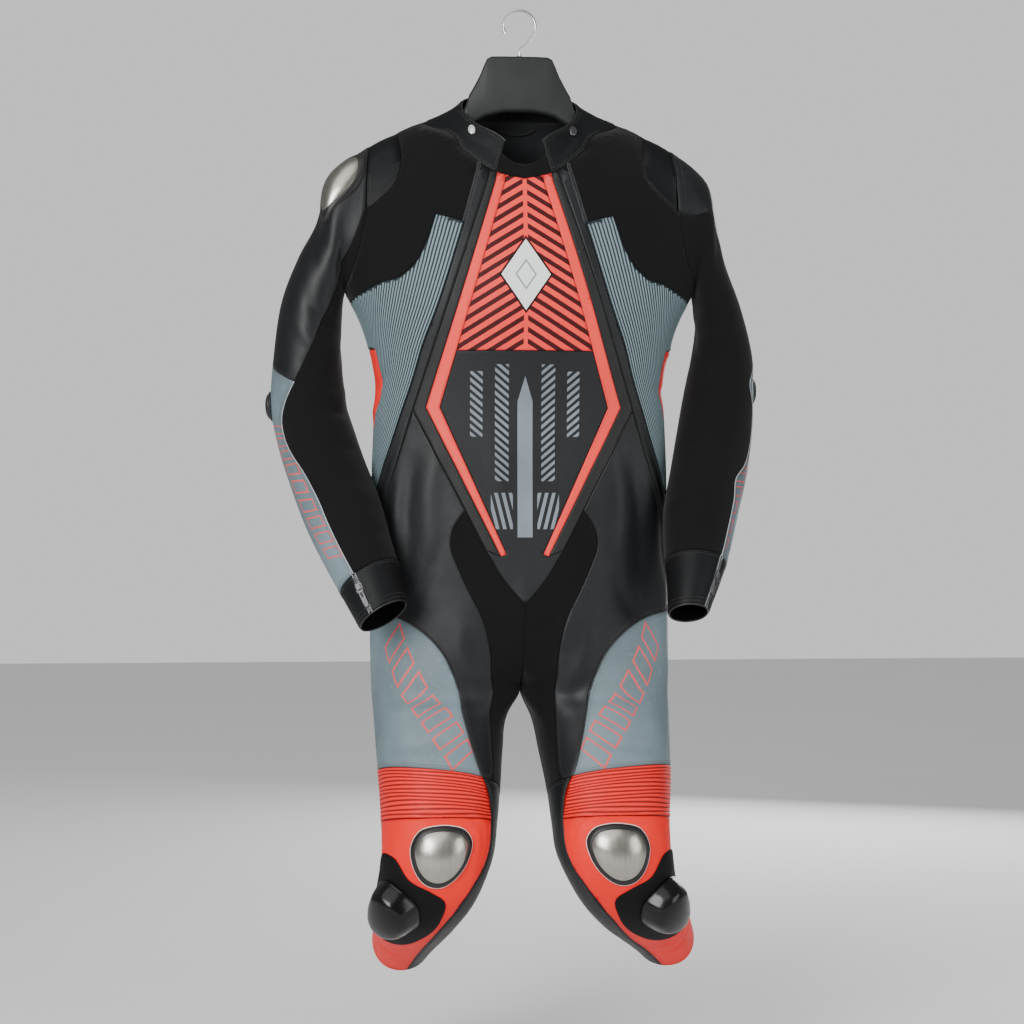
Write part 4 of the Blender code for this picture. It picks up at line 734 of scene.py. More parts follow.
# Hard pieces: middles and outlines in the parameters of the cloth that carries them.
KNEE_PLATE = (0.498, 1.267)
PLATE_OUTLINE = ((0.53, 1.241), (0.62, 1.246), (0.665, 1.260), (0.645, 1.275), (0.57, 1.289),
                 (0.49, 1.292), (0.40, 1.283), (0.348, 1.268), (0.335, 1.254), (0.375, 1.245),
                 (0.45, 1.241))
SLIDER_BASE = (0.74, 1.335)
BASE_OUTLINE = ((0.80, 1.268), (0.93, 1.268), (0.98, 1.296), (1.0, 1.37), (0.91, 1.42),
                (0.63, 1.398), (0.487, 1.359), (0.44, 1.326), (0.445, 1.306), (0.533, 1.296),
                (0.66, 1.288))
PUCK = (0.735, 1.325)
PUCK_OUTLINE = ((-31, -21), (-10, -36), (14, -44), (33, -36), (41, -8), (37, 24), (20, 42),
                (-8, 45), (-29, 31), (-37, 5))
CUPS = {"r": (0.47, 1.37), "l": (-0.42, 1.37)}
ELBOWS = {"r": (-0.17, 7.0), "l": (-0.22, 6.9)}
SNAP_ANGLE, SNAP_HEIGHT = 46.0, 0.72
ZIP_SLIDE = {"r": 12.15, "l": 11.95}
RIB_PITCH, RIB_RISE, RIB_DIP = 4.1, 0.8, -0.4
RIB_LINES, RIB_STEP, KNEE_RIBS = 6, 6 * MM, 13
FINE = 72                       # points round a moulded piece's outline


def cloth_outline(side, centre, points):
    """A smooth outline in millimetres about its middle, from one in a body's parameters."""
    about = (np.array(points) - centre) * step_sizes(HALF[side], centre) / MM
    return smooth_outline(about, FINE)


# Creases, one to a row: side (b for both), width and height in millimetres, a trough's height
# being below 0, then the places it runs through: (a, t) on the body, (degrees, ring) on a
# sleeve, (degrees, share of the height) on the collar.
CREASES = {
    "body": """
b 15 3.4  0.36 0.64  0.42 0.72  0.4 0.83
b 12 -3.0  0.5 0.655  0.55 0.74  0.52 0.85
l 16 3.2  0.62 0.66  0.68 0.76  0.64 0.88
r 14 3.4  0.6 0.68  0.64 0.78  0.58 0.865
r 12 -3.0  0.7 0.7  0.76 0.8  0.74 0.89
l 12 -2.6  0.76 0.72  0.8 0.8  0.86 0.86
r 9 -2.2  0.33 0.78  0.43 0.85  0.55 0.905
l 10 -2.4  0.34 0.8  0.42 0.865  0.56 0.915
b 12 2.8  0.26 0.9  0.3 0.98  0.29 1.08
r 9 -2.2  0.36 0.93  0.37 1.02  0.34 1.1
l 9 -2.4  0.37 0.96  0.4 1.04  0.36 1.13
b 9 -2.6  0.02 0.945  0.1 0.915  0.2 0.89
b 8 -2.2  0.02 0.985  0.12 0.965  0.24 0.95
r 10 2.4  0.04 1.01  0.14 1.04  0.2 1.09
l 10 2.6  0.05 1.01  0.13 1.05  0.2 1.11
b 11 2.6  0 0.84  0.01 0.9  0 0.96
b 8 -2.2  0.1 0.86  0.13 0.93  0.1 0.99
l 16 -2.0  0.1 0.56  0.13 0.64  0.09 0.72
r 15 1.9  0.14 0.6  0.1 0.69  0.06 0.78
l 15 1.8  0.24 0.52  0.29 0.58  0.27 0.66
r 22 1.6  0.02 0.33  0.06 0.42  0.04 0.5
r 14 -3.0  0.42 0.24  0.52 0.3  0.66 0.352
l 16 -3.2  0.42 0.232  0.55 0.29  0.7 0.33
r 10 2.8  0.48 0.33  0.6 0.372  0.76 0.408
l 11 3.0  0.5 0.34  0.62 0.38  0.78 0.41
l 8 -3.0  0.74 0.3  0.78 0.35  0.88 0.4
r 9 -3.2  0.76 0.292  0.8 0.35  0.88 0.402
r 12 2.2  0.66 0.212  0.64 0.27  0.7 0.32
l 12 2.0  0.62 0.206  0.6 0.262  0.64 0.31
r 10 -2.8  0.7 0.54  0.84 0.56  1.02 0.556
l 9 -2.6  0.72 0.56  0.86 0.572  1.06 0.566
r 12 2.4  0.8 0.61  0.96 0.598  1.12 0.612
l 11 2.2  0.84 0.52  1 0.512  1.14 0.526
b 18 4.2  1.74 0.23  1.7 0.31  1.78 0.4
r 12 -4.2  1.38 0.33  1.52 0.4  1.7 0.44
l 13 -4.5  1.36 0.345  1.54 0.405  1.74 0.455
r 10 3.6  1.3 0.4  1.42 0.45  1.6 0.48
l 11 3.9  1.28 0.41  1.44 0.47  1.58 0.505
r 12 -4.5  1.24 0.56  1.5 0.574  1.86 0.56
l 13 -4.8  1.26 0.548  1.56 0.556  1.98 0.552
r 13 4.5  1.32 0.615  1.6 0.6  1.95 0.606
l 12 4.2  1.34 0.6  1.6 0.596  1.9 0.612
r 10 -3.4  1.36 0.66  1.62 0.648  1.9 0.655
l 9 -3.1  1.4 0.65  1.58 0.642  1.82 0.65
b 12 -5.6  1.98 0.76  2 0.86  2 0.985
r 13 4.8  1.44 0.88  1.66 0.93  1.92 0.975
l 14 5.0  1.42 0.87  1.62 0.925  1.9 0.965
r 10 -4.2  1.34 0.93  1.55 0.975  1.8 1.01
l 11 -4.2  1.38 0.92  1.6 0.965  1.84 1.005
r 16 3.6  1.5 0.74  1.62 0.81  1.66 0.88
l 15 -3.4  1.52 0.73  1.6 0.79  1.68 0.87
r 17 2.2  0.62 0.96  0.7 1.04  0.66 1.12
l 16 -2.2  0.58 0.975  0.66 1.06  0.6 1.135
r 15 -2.4  0.86 0.95  0.92 1.04  0.88 1.11
l 17 2.6  0.82 0.94  0.9 1.01  0.86 1.1
r 8 -1.8  0.42 1.12  0.6 1.132  0.84 1.118
l 9 -2.0  0.44 1.128  0.62 1.14  0.8 1.128
r 9 -3.4  1.36 1.16  1.6 1.18  1.86 1.166
l 10 -3.6  1.38 1.17  1.62 1.19  1.9 1.176
r 8 3.0  1.34 1.205  1.6 1.222  1.94 1.2
l 9 3.0  1.36 1.215  1.58 1.232  1.9 1.212
r 8 -2.8  1.4 1.25  1.62 1.264  1.9 1.246
l 8 -3.0  1.38 1.258  1.64 1.27  1.92 1.258
b 10 2.4  1.4 1.32  1.62 1.345  1.84 1.332
r 13 3.1  1.45 1.07  1.62 1.1  1.84 1.092
l 14 3.1  1.48 1.05  1.66 1.085  1.86 1.08
r 6 -2.2  0.52 1.44  0.72 1.452  0.98 1.44
l 6 -2.2  0.5 1.446  0.7 1.456  0.94 1.444
b 6 2.0  0.6 1.43  0.66 1.47  0.64 1.5
r 5 -2.0  0.8 1.45  0.86 1.48  0.84 1.51
l 5 -2.0  0.78 1.456  0.88 1.484  0.86 1.508
b 6 1.8  0.27 1.262  0.3 1.3  0.4 1.33
b 7 1.6  0.76 1.246  0.8 1.262  0.86 1.262
    """,
    "sleeve": """
b 11 -3.0  110 0.6  122 1.6  118 2.8
b 13 2.6  58 0.8  72 1.8  80 3
r 12 -2.6  20 2.6  44 3.4  76 3.9
l 12 -2.8  24 2.2  48 3.2  84 3.8
b 8 -3.2  70 4.5  110 4.9  160 4.8
b 8 3.4  62 5.2  104 5.5  170 5.4
b 7 -3.6  74 5.9  118 6.1  176 5.9
b 8 3.2  84 6.5  126 6.8  182 6.5
b 7 -3.0  88 7.1  130 7.4  180 7.1
b 10 -2.6  -30 5.6  -70 5.9  -120 5.7
b 11 2.4  -24 6.9  -66 7.6  -120 7.8
b 9 -2.6  -150 4.6  -176 5.2  -200 5.8
r 9 -2.4  76 8.3  112 8.8  160 8.9
l 9 -2.4  78 8.1  116 8.6  160 8.6
b 9 2.2  86 9.4  120 10  166 10.1
b 7 -2.0  92 10.6  128 11  170 10.9
b 15 2.4  -20 1.2  -54 2.2  -86 3
b 13 -2.8  -96 1.6  -128 2.6  -150 3.6
b 8 -2.0  -70 9.2  -100 10  -140 10.4
    """,
    "collar": """
r 4 1.6  21 0.16  38 0.22  62 0.16
r 4 -1.7  20 0.42  30 0.5  47 0.42
r 5 1.3  22 0.78  34 0.66  52 0.6
r 6 -1.8  62 0.25  76 0.5  82 0.85
l 5 -1.9  20 0.3  31 0.42  44 0.66
l 4 1.4  24 0.72  33 0.84  40 0.95
l 5 1.5  26 0.12  44 0.26  60 0.24
l 6 -1.5  56 0.4  70 0.52  88 0.44
r 7 -1.6  104 0.3  130 0.52  158 0.4
l 8 1.5  110 0.6  136 0.44  170 0.56
    """,
}


def crease_paths(side):
    """The creases that this side's cloth has, as places in space with width and height."""
    surfaces = {"body": (HALF[side], 1), "sleeve": (SLEEVE[side], 1 / 90.0),
                "collar": (COLLAR_BAND, SIDES[side])}
    found = {kind: [] for kind in CREASES}
    for kind, (surface, scale) in surfaces.items():
        for row in CREASES[kind].split("\n"):
            if row[:1] in (side, "b"):
                width, height, *path = map(float, row.split()[1:])
                at = rounded(np.reshape(path, (-1, 2)), 24)
                places = surface.point(at[:, 0] * scale, at[:, 1])
                found[kind].append((places, width * MM, height * MM))
    return found


# Soft ridges and a groove round each knee plate: (scale of its outline, width, height).
PLATE_ARCS = ((1.15, 2.4, -1.3), (1.31, 3.6, 1.7), (1.50, 3.0, -1.1), (1.68, 5.0, 1.3))


def plate_arcs(side):
    """The leather's stitched folds that ring a knee plate, open toward the slider."""
    half = HALF[side]
    outline = cloth_outline(side, KNEE_PLATE, PLATE_OUTLINE)
    step = step_sizes(half, KNEE_PLATE)
    toward = (np.array(PUCK) - KNEE_PLATE) * step
    outline = np.roll(outline, -int((outline @ toward).argmax()), axis=0)
    found = []
    for scale, width, height in PLATE_ARCS:
        open_by = int(FINE * (0.10 + 0.16 * (scale - 1.15)))
        arc = KNEE_PLATE + outline[open_by:FINE - open_by] * scale * MM / step
        found.append((half.point(*arc.T), width * MM, height * MM))
    return found


def nearest_part(places, start, along):
    """For each place: its gap to each part of a line, and where on that part it is nearest."""
    reach = places[:, None] - start[None]
    share = (reach * along).sum(axis=2) / np.maximum((along ** 2).sum(axis=1), 1e-12)
    share = np.clip(share, 0.0, 1.0)
    return size(reach - share[:, :, None] * along), share


def fold_heights(places, creases):
    """How far the creases lift or sink the cloth at these places."""
    total = np.zeros(len(places))
    for path, width, height in creases:
        low, high = path.min(axis=0) - 3 * width, path.max(axis=0) + 3 * width
        near = np.flatnonzero(((places > low) & (places < high)).all(axis=1))
        if not len(near):
            continue
        gap, share = nearest_part(places[near], path[:-1], np.diff(path, axis=0))
        part = gap.argmin(axis=1)
        at = (part + share[np.arange(len(near)), part]) / (len(path) - 1)
        taper = np.sin(math.pi * np.clip(at, 0.02, 0.98)) ** 0.7
        total[near] += height * taper * np.exp(-(gap.min(axis=1) / width) ** 2)
    return total


# A seam's edge is turned under: (distance from the seam, height) in millimetres.
EDGE_ROWS = ((0.0, -1.0), (1.0, -0.25), (2.4, 0.22), (4.2, 0.10))
EDGE_REACH = EDGE_ROWS[-1][0] * MM


def edge_height(distance):
    """Height of the turned edge at a distance from the seam, in metres."""
    table = np.array(EDGE_ROWS + ((2 * EDGE_REACH / MM, 0.0),)) * MM
    return np.interp(distance, *table.T)


class Cloth:
    """One sewn piece: its outline, its mesh on the surface and what is raised on it."""

    def __init__(self, name, surface, loop, creases, relief=()):
        self.name, self.surface, self.loop, self.creases = name, surface, loop, creases
        self.flat = surface.flat(loop[:, :2])
        self.find_edge()
        rows = [self.inner_row(distance * MM) for distance, _ in EDGE_ROWS[1:]]
        lines = [(surface.flat(points), links) for points, links, _ in relief]
        if lines:
            extra = rows[0]
        else:
            extra = np.vstack(rows)
            extra = np.vstack([extra, filling(self.flat, STEP, extra, EDGE_REACH)])
        faces = triangles(self.flat, extra, lines)
        at = surface.unflat(np.vstack([self.flat, extra] + [points for points, _ in lines]))
        at[:len(loop)] = loop[:, :2]
        self.at = at
        self.place = surface.point(*at.T)
        self.out = surface.normal(*at.T)
        self.out[:len(loop)] = self.base_out
        self.faces = facing(faces, self.place, self.out)
        self.place[:len(loop)] += self.into * SEAM_GAP / 2
        self.distance = self.from_seam(self.place)
        raised = [np.full(len(points), height) for points, _, height in relief]
        plain = len(loop) + len(extra)
        self.rise = np.concatenate([np.zeros(plain)] + raised)

    def find_edge(self):
        """For each point of the loop: its place, outward direction and direction into the piece."""
        loop, surface = self.loop, self.surface
        self.base = surface.point(*loop[:, :2].T)
        self.base_out = surface.normal(*loop[:, :2].T)
        given = ~np.isnan(loop[:, 2])
        self.base_out[given] = loop[given, 2:]
        steps = unit(np.roll(self.base, -1, axis=0) - self.base)
        self.into = unit(np.cross(self.base_out, unit(steps + np.roll(steps, 1, axis=0))))
        trial = surface.flat(surface.shift(loop[:, :2], self.into * 3 * MM))
        if inside(trial, self.flat).mean() < 0.5:
            self.into = -self.into

    def inner_row(self, distance):
        """Points that follow the seam at a distance inside it."""
        flat = self.surface.flat(self.surface.shift(self.loop[:, :2], self.into * distance))
        return flat[well_inside(flat, self.flat, distance * 0.55)]

    def from_seam(self, places):
        """Distance of places to the nearest seam, up to a little past the turned edge."""
        ahead = np.roll(self.base, -1, axis=0) - self.base
        gaps = [nearest_part(places[first:first + 4000], self.base, ahead)[0].min(axis=1)
                for first in range(0, len(places), 4000)]
        return np.minimum(np.concatenate(gaps), 2.5 * EDGE_REACH)

    def heights(self):
        return edge_height(self.distance) + fold_heights(self.place, self.creases) + self.rise

    def pattern_size(self):
        """Width, length and area of the flat piece that this was cut to."""
        a, b, c = (self.place[self.faces[:, i]] for i in range(3))
        area = size(np.cross(b - a, c - a)).sum() / 2
        flat = self.flat - self.flat.mean(axis=0)
        turn = np.linalg.eigh(flat.T @ flat)[1]
        width, length = np.sort(np.ptp(flat @ turn, axis=0))
        if area < 0.35 * width * length or area > width * length:
            half = size(np.roll(self.base, -1, axis=0) - self.base).sum() / 2
            length = half / 2 + math.sqrt(max(half * half / 4 - area, 0.0))
            width = area / length
        return float(width), float(length), float(area)


SEAMS = {side: body_seams(side) for side in SIDES}


def crossing(names, about=0.0, *closing):
    """A loop that crosses the centre: seams of the left side, then those of the right."""
    left = [SEAMS["l"][name] for name in names.split()]
    right = [other_side(SEAMS["r"][name], about) for name in reversed(names.split())]
    return chain(*closing, *left, *right)


neck_front = neck_seam(-STOPS[0], STOPS[0])[0]
neck_front[:, 0] = np.abs(neck_front[:, 0]) * np.sign(np.linspace(-1, 1, len(neck_front)))
neck_back = neck_seam(90.0, 270.0)[0]
neck_back[neck_back[:, 0] < 0, 0] += 4.0

# Each side's pieces: slot, then the seams round them.
PAIRED = """
band coral_leather neck_band band_out band_end kite_low kite_top
border black_leather neck_border border_upper border_hip border_groin border_end band_out
zip_strip black_leather neck_zip zip_upper zip_lower zip_end zip_cap zip_inner border_upper
chest black_stretch_cloth neck_chest ridge shoulder_front armhole_front armpit rib_side \
    rib_curve rib_slant zip_upper
shoulder black_leather shoulder_front armhole_top shoulder_back
ribs grey_blue_leather rib_slant rib_curve rib_side rib_under rib_back side side_red_front \
    side_low side_tip zip_lower
side coral_leather side side_red_front side_red_back
hip black_leather border_hip zip_inner hip_side thigh_front hip_hem groin_out
groin black_stretch_cloth groin_out border_groin vee centre_high centre_low groin_hem
thigh grey_blue_leather thigh_top_back thigh_front knee_top thigh_edge_low thigh_edge_high
knee_ribs coral_leather knee_top knee_inner_high ribs_end knee_back_high
knee coral_leather ribs_end knee_inner_low hem_front knee_back_low
leg_back black_leather seat_edge centre_low groin_hem hip_hem knee_inner_high knee_inner_low \
    hem_back knee_back_low knee_back_high thigh_edge_low
"""
# Behind the leg a runs past 2, round to the front's inner edge.
ROUND_THE_LEG = ("centre_low", "groin_hem", "hip_hem", "knee_inner_high", "knee_inner_low")


def turned(rows, turns):
    moved = rows.copy()
    moved[:, 0] += turns
    return moved


def sleeve_rows(sleeve, *points):
    """A sleeve seam given as (ring, degrees round it)."""
    return seam(fine_line([(degrees / 90.0, ring) for ring, degrees in points]), sleeve)


def sleeve_loops(side):
    """The loops of one sleeve's four sewn pieces, with their slots."""
    sleeve, rows = SLEEVE[side], SLEEVE_SEAMS[side]
    edge = {name: sleeve_rows(sleeve, *points) for name, points in rows.items()}
    (cuff, slit), back_end, last = CUFFS[side], rows["forearm_back"][-1][1], sleeve.last
    over = sleeve_rows(sleeve, (cuff, slit), (cuff, back_end))
    under = sleeve_rows(sleeve, (cuff, slit), (cuff, back_end + 360))
    top, front, back = (armhole_seam(side, *ends)[1] for ends in ARMHOLES.values())
    opening = sleeve_rows(sleeve, (cuff, slit), (last, slit))
    end = sleeve_rows(sleeve, (last, slit), (last, slit + 360))
    return {
        "upper_sleeve": ("black_leather", chain(top, edge["back"], edge["elbow"], edge["front"])),
        "inner_sleeve": ("black_stretch_cloth", chain(
            front, back, turned(edge["back"], 4.0), turned(edge["forearm_back"], 4.0), under,
            edge["forearm_front"], edge["front"])),
        "forearm": ("grey_blue_leather",
                    chain(edge["elbow"], edge["forearm_front"], over, edge["forearm_back"])),
        "cuff": ("black_leather",
                 chain(under, turned(over, 4.0), turned(opening, 4.0), end, opening)),
    }


# The collar stands on the neck seam and is open at the throat, where a soft flap fills in.
THROAT = NECK_STOPS["band_out"]


def mirrored(rows, about=0.0):
    """A neck seam's rows on the right of the collar."""
    turned = other_side(rows, about)
    turned[:, 2] *= -1
    return turned


def collar_line(*points):
    return seam(np.array(points), COLLAR_BAND)


def collar_loop():
    """From the left front end round the back to the right front end and along the top."""
    left = [neck_seam(*ends)[1] for ends in zip(STOPS[1:], STOPS[2:])]
    right = [mirrored(piece, 180.0) for piece in left]
    top = seam(np.linspace((THROAT, 1.0), (360.0 - THROAT, 1.0), 90), COLLAR_BAND)
    ends = [collar_line((at, 0.0), (at, 1.0)) for at in (THROAT, 360.0 - THROAT)]
    return chain(*left, neck_seam(90.0, 270.0)[1], *right[::-1], ends[1], top, ends[0])


def throat_loop():
    left = neck_seam(*STOPS[:2])[1]
    edge = [(18, 0.60), (14, 0.57), (9, 0.60), (6, 0.66), (3, 0.78), (0, 0.98)]
    top = seam(rounded([(-at, share) for at, share in edge] + edge[-2::-1]), COLLAR_BAND)
    ends = [collar_line((at, 0.0), (at, 0.60)) for at in (THROAT, -THROAT)]
    return chain(neck_seam(-STOPS[0], STOPS[0])[1], left, ends[0], top, ends[1], mirrored(left))


def linked(name, data):
    """An object of this data, in the scene."""
    made = bpy.data.objects.new(name, data)
    bpy.context.scene.collection.objects.link(made)
    return made


def mesh_object(name, places, faces, finish):
    """A mesh object at the origin, from places and faces."""
    mesh = bpy.data.meshes.new(name)
    mesh.from_pydata([tuple(map(float, place)) for place in places], [],
                     [tuple(map(int, face)) for face in faces])
    mesh.polygons.foreach_set("use_smooth", [True] * len(mesh.polygons))
    mesh.materials.append(finish.material)
    return linked(name, mesh)


def finished(piece, slot, *nodes, body=SUIT):
    """Every piece rides on a body and stands for its CAD nodes; the slot is not used."""
    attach(piece, body)
    if nodes:
        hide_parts(*nodes)


def give_attribute(mesh, name, values):
    mesh.attributes.new(name, "FLOAT", "POINT").data.foreach_set(
        "value", np.asarray(values, np.float32))


def sew(cloth, finish, slot, print_line=None, print_size=1.0):
    """Turn a piece's outline into a thin closed shell with its creases, edges and weave map."""
    count, total = len(cloth.loop), len(cloth.at)
    outside = cloth.place + cloth.out * cloth.heights()[:, None]
    within = outside - cloth.out * THICK
    within[:count] -= cloth.into * 0.2 * MM
    faces = np.vstack([cloth.faces, cloth.faces[:, ::-1] + total,
                       rim_faces(cloth.faces, count, total)])
    made = mesh_object("%s_cloth" % cloth.name, np.vstack([outside, within]), faces, finish)
    mesh = made.data
    # The ribs' height, 0 in the grooves to 1 on the crests, from which the ribbed leathers paint
    # shade and highlight.
    relief = np.clip((cloth.rise / MM - RIB_DIP) / (RIB_RISE - RIB_DIP), 0.0, 1.0)
    give_attribute(mesh, "seam", np.tile(np.exp(-cloth.distance / (1.5 * MM)), 2))
    give_attribute(mesh, "relief", np.append(relief, np.zeros(total)))
    flat = np.vstack([cloth.surface.flat(cloth.at)] * 2)
    if print_line is not None:
        start, end = cloth.surface.flat(np.array(print_line))
        ahead = unit(end - start)
        for name, way in (("along", ahead), ("across", (-ahead[1], ahead[0]))):
            give_attribute(mesh, "print_" + name, (flat - start) @ way / print_size)
        bars = int(size(end - start) / print_size / BAR_PITCH)
        give_attribute(mesh, "print_count", np.full(2 * total, bars))
    uv = mesh.uv_layers.new(name="weave")
    corners = np.zeros(len(mesh.loops), int)
    mesh.loops.foreach_get("vertex_index", corners)
    uv.data.foreach_set("uv", flat[corners].ravel())
    finished(made, slot, cloth.name)
    width, length, area = cloth.pattern_size()


def rim_faces(faces, count, total):
    """Faces that close a shell along its outline, from the outer layer to the inner one."""
    edges = np.vstack([faces[:, [0, 1]], faces[:, [1, 2]], faces[:, [2, 0]]])
    gap = np.abs(edges[:, 0] - edges[:, 1])
    p, q = edges[(edges < count).all(axis=1) & ((gap == 1) | (gap == count - 1))].T
    return np.vstack([columns(q, p, p + total), columns(q, p + total, q + total)])


def runs(keep):
    """First and past-the-last places of each unbroken run of true values."""
    ends = np.flatnonzero(np.diff(np.concatenate([[0], keep.astype(int), [0]])))
    return zip(ends[::2], ends[1::2])


def net_line(points, height):
    return points, [(i, i + 1) for i in range(len(points) - 1)], height


def rib_net(loop, base):
    """Fine lines across the ribs beside a seam: nets of points, links and height."""
    def true(at, way=1):
        return columns(at[:, 0] * np.interp(at[:, 1], BODY.t, BODY.girth) ** way, at[:, 1])

    edge, line = true(loop[:, :2]), true(base)
    line = np.vstack([line[0] * 2 - line[1], line, line[-1] * 2 - line[-2]])
    ahead = unit(np.gradient(line, axis=0))
    beside = columns(ahead[:, 1], -ahead[:, 0])
    found = []
    for k in range(1, 160 * RIB_LINES):
        moved = line + beside * k * RIB_PITCH / RIB_LINES * MM
        length = lengths(moved)
        fine = curve(length, moved, np.arange(0.0, length[-1], RIB_STEP), straight)
        for first, last in runs(well_inside(fine, edge, 1.6 * MM)):
            if last - first > 2:
                found.append(net_line(true(fine[first:last], -1), rib_height(k / RIB_LINES)))
    return found


def rib_height(turn):
    """Height of a rib's round back at a share of the pitch, lowest at the stitched grooves."""
    share = abs(math.cos(math.pi * (turn - 0.5))) ** 0.65
    return (RIB_DIP + (RIB_RISE - RIB_DIP) * share) * MM


def knee_net(top, bottom):
    """Fine lines across the pleats above a knee, from one seam to the other."""
    found = []
    total = KNEE_RIBS * RIB_LINES
    for k in range(1, total):
        share = k / total
        low = np.interp(share, (0, 1), (CORNERS["knee"][0], CORNERS["ribs"][0])) + 0.012
        a = np.linspace(low, BACK_EDGE - 0.007, 44)
        t_top, t_low = (np.interp(a, rows[:, 0], rows[:, 1]) for rows in (top, bottom))
        wander = 0.0006 * np.sin(a * 9.0 + k * 0.21)
        line = columns(a, t_top + (t_low - t_top) * share + wander)
        found.append(net_line(line, rib_height(k / RIB_LINES) * 1.3))
    return found


def closed_mesh(name, places, faces, finish, sharp=40):
    """A closed mesh with its faces turned outward and its sharp edges marked."""
    made = mesh_object(name, places, faces, finish)
    shape = bmesh.new()
    shape.from_mesh(made.data)
    bmesh.ops.recalc_face_normals(shape, faces=shape.faces)
    shape.to_mesh(made.data)
    shape.free()
    made.data.set_sharp_from_angle(angle=math.radians(sharp))
    return made


def stacked(name, rings, finish, sharp=40):
    """A closed solid of rings of places, the first and the last ring being single points."""
    count = len(rings[1])
    last = 1 + (len(rings) - 2) * count
    faces = []
    for j in range(count):
        k = (j + 1) % count
        faces.append((0, 1 + j, 1 + k))
        for row in range(1, last - count, count):
            faces.append((row + j, row + count + j, row + count + k, row + k))
        faces.append((last - count + k, last - count + j, last))
    return closed_mesh(name, np.vstack(rings), faces, finish, sharp)


def tube(name, rings, finish, sharp=45, closed=False):
    """A solid through rings of places: closed on itself, or capped at its two ends."""
    count, rows = len(rings[0]), len(rings)
    faces = []
    for i in range(rows - (0 if closed else 1)):
        row, ahead = i * count, (i + 1) % rows * count
        faces += [(row + j, row + (j + 1) % count, ahead + (j + 1) % count, ahead + j)
                  for j in range(count)]
    if not closed:
        faces += [range(count)[::-1], range((rows - 1) * count, rows * count)]
    return closed_mesh(name, np.vstack(rings), faces, finish, sharp)


def laid(surface, centre, shape, scale, lift, height, lean=None):
    """Places of an outline scaled about its centre, lying on a surface and raised from it."""
    at = (centre + shape * scale).T
    place, out = surface.point(*at), surface.normal(*at)
    return place + out * lift + (out if lean is None else lean) * height * MM


def hard_piece(name, surface, centre, outline, profile, finish, lift=LIFT, lean=None, sharp=40):
    """A moulded piece on the cloth: a profile of (scale, height) from its middle to its edge."""
    shape = outline * MM / step_sizes(surface, centre)
    rows = list(profile[1:]) + [(scale, 0.0) for scale in (0.97, 0.7, 0.35)]
    rings = [laid(surface, centre, shape, scale, lift, height, lean) for scale, height in rows]
    ends = [laid(surface, centre, shape[:1], 0.0, lift, height, lean)
            for height in (profile[0][1], 0.0)]
    return stacked(name, ends[:1] + rings + ends[1:], finish, sharp)


def fine_profile(rows, count=4):
    """A profile with smooth steps put between its rows."""
    keys = np.arange(len(rows), dtype=float)
    at = np.linspace(0, keys[-1], (len(rows) - 1) * count + 1)
    return curve(keys, np.array(rows), at)


def swept(name, path, out, radius, finish, sides=8, closed=False):
    """A round cord along a path of places, with closed ends."""
    ahead = unit(np.roll(path, -1, axis=0) - np.roll(path, 1, axis=0) if closed
                 else np.gradient(path, axis=0))
    across = unit(np.cross(ahead, out))
    up = np.cross(across, ahead)
    turns = np.linspace(0, 2 * math.pi, sides, endpoint=False)[:, None]
    rings = [place + (a * np.cos(turns) + u * np.sin(turns)) * radius
             for place, a, u in zip(path, across, up)]
    return tube(name, rings, finish, 60, closed)


def joined(name, pieces):
    """Several meshes made one object."""
    shape = bmesh.new()
    for piece in pieces:
        shape.from_mesh(piece.data)
    mesh = bpy.data.meshes.new(name)
    shape.to_mesh(mesh)
    shape.free()
    mesh.materials.append(pieces[0].data.materials[0])
    for piece in pieces:
        bpy.data.objects.remove(piece, do_unlink=True)
    return linked(name, mesh)


# ---------------------------------------------------------------- sewing, with Geometry Nodes


def row_tree():
    """A tree that lays a small shape again and again along lines that know their outside."""
    tree = bpy.data.node_groups.new("rows of sewing", "GeometryNodeTree")
    named = {}
    for label, kind in (("Lines", "Geometry"), ("Spacing", "Float"), ("Shape", "Object"),
                        ("Unevenness", "Float"), ("Finish", "Material")):
        socket = tree.interface.new_socket(label, in_out="INPUT", socket_type="NodeSocket" + kind)
        named[label] = socket.identifier
    tree.interface.new_socket("Rows", in_out="OUTPUT", socket_type="NodeSocketGeometry")

    def add(kind, inputs=(), **settings):
        node = tree.nodes.new(kind)
        for key, value in settings.items():
            setattr(node, key, value)
        for key, value in dict(inputs).items():
            if isinstance(value, bpy.types.NodeSocket):
                tree.links.new(value, node.inputs[key])
            else:
                node.inputs[key].default_value = value
        return node.outputs

    given = add("NodeGroupInput")
    curves = add("GeometryNodeMeshToCurve", {"Mesh": given["Lines"]})
    spaced = add("GeometryNodeResampleCurve", {"Curve": curves[0], "Length": given["Spacing"]},
                 mode="LENGTH")
    outside = add("GeometryNodeInputNamedAttribute", {"Name": "outside"},
                  data_type="FLOAT_VECTOR")
    along = add("GeometryNodeInputTangent")
    facing_out = add("FunctionNodeAlignRotationToVector", {"Vector": outside[0]}, axis="Z")
    laid_on = add("FunctionNodeAlignRotationToVector",
                  {"Rotation": facing_out[0], "Vector": along[0]}, axis="X", pivot_axis="Z")
    uneven = add("FunctionNodeRandomValue", {2: 1.0, 3: given["Unevenness"], "Seed": 7},
                 data_type="FLOAT")
    shape = add("GeometryNodeObjectInfo", {"Object": given["Shape"]})
    copies = add("GeometryNodeInstanceOnPoints", {
        "Points": spaced[0], "Instance": shape["Geometry"], "Rotation": laid_on[0],
        "Scale": uneven[1]})
    real = add("GeometryNodeRealizeInstances", {0: copies[0]})
    skinned = add("GeometryNodeSetMaterial", {0: real[0], "Material": given["Finish"]})
    add("NodeGroupOutput", {0: skinned[0]})
    return tree, named


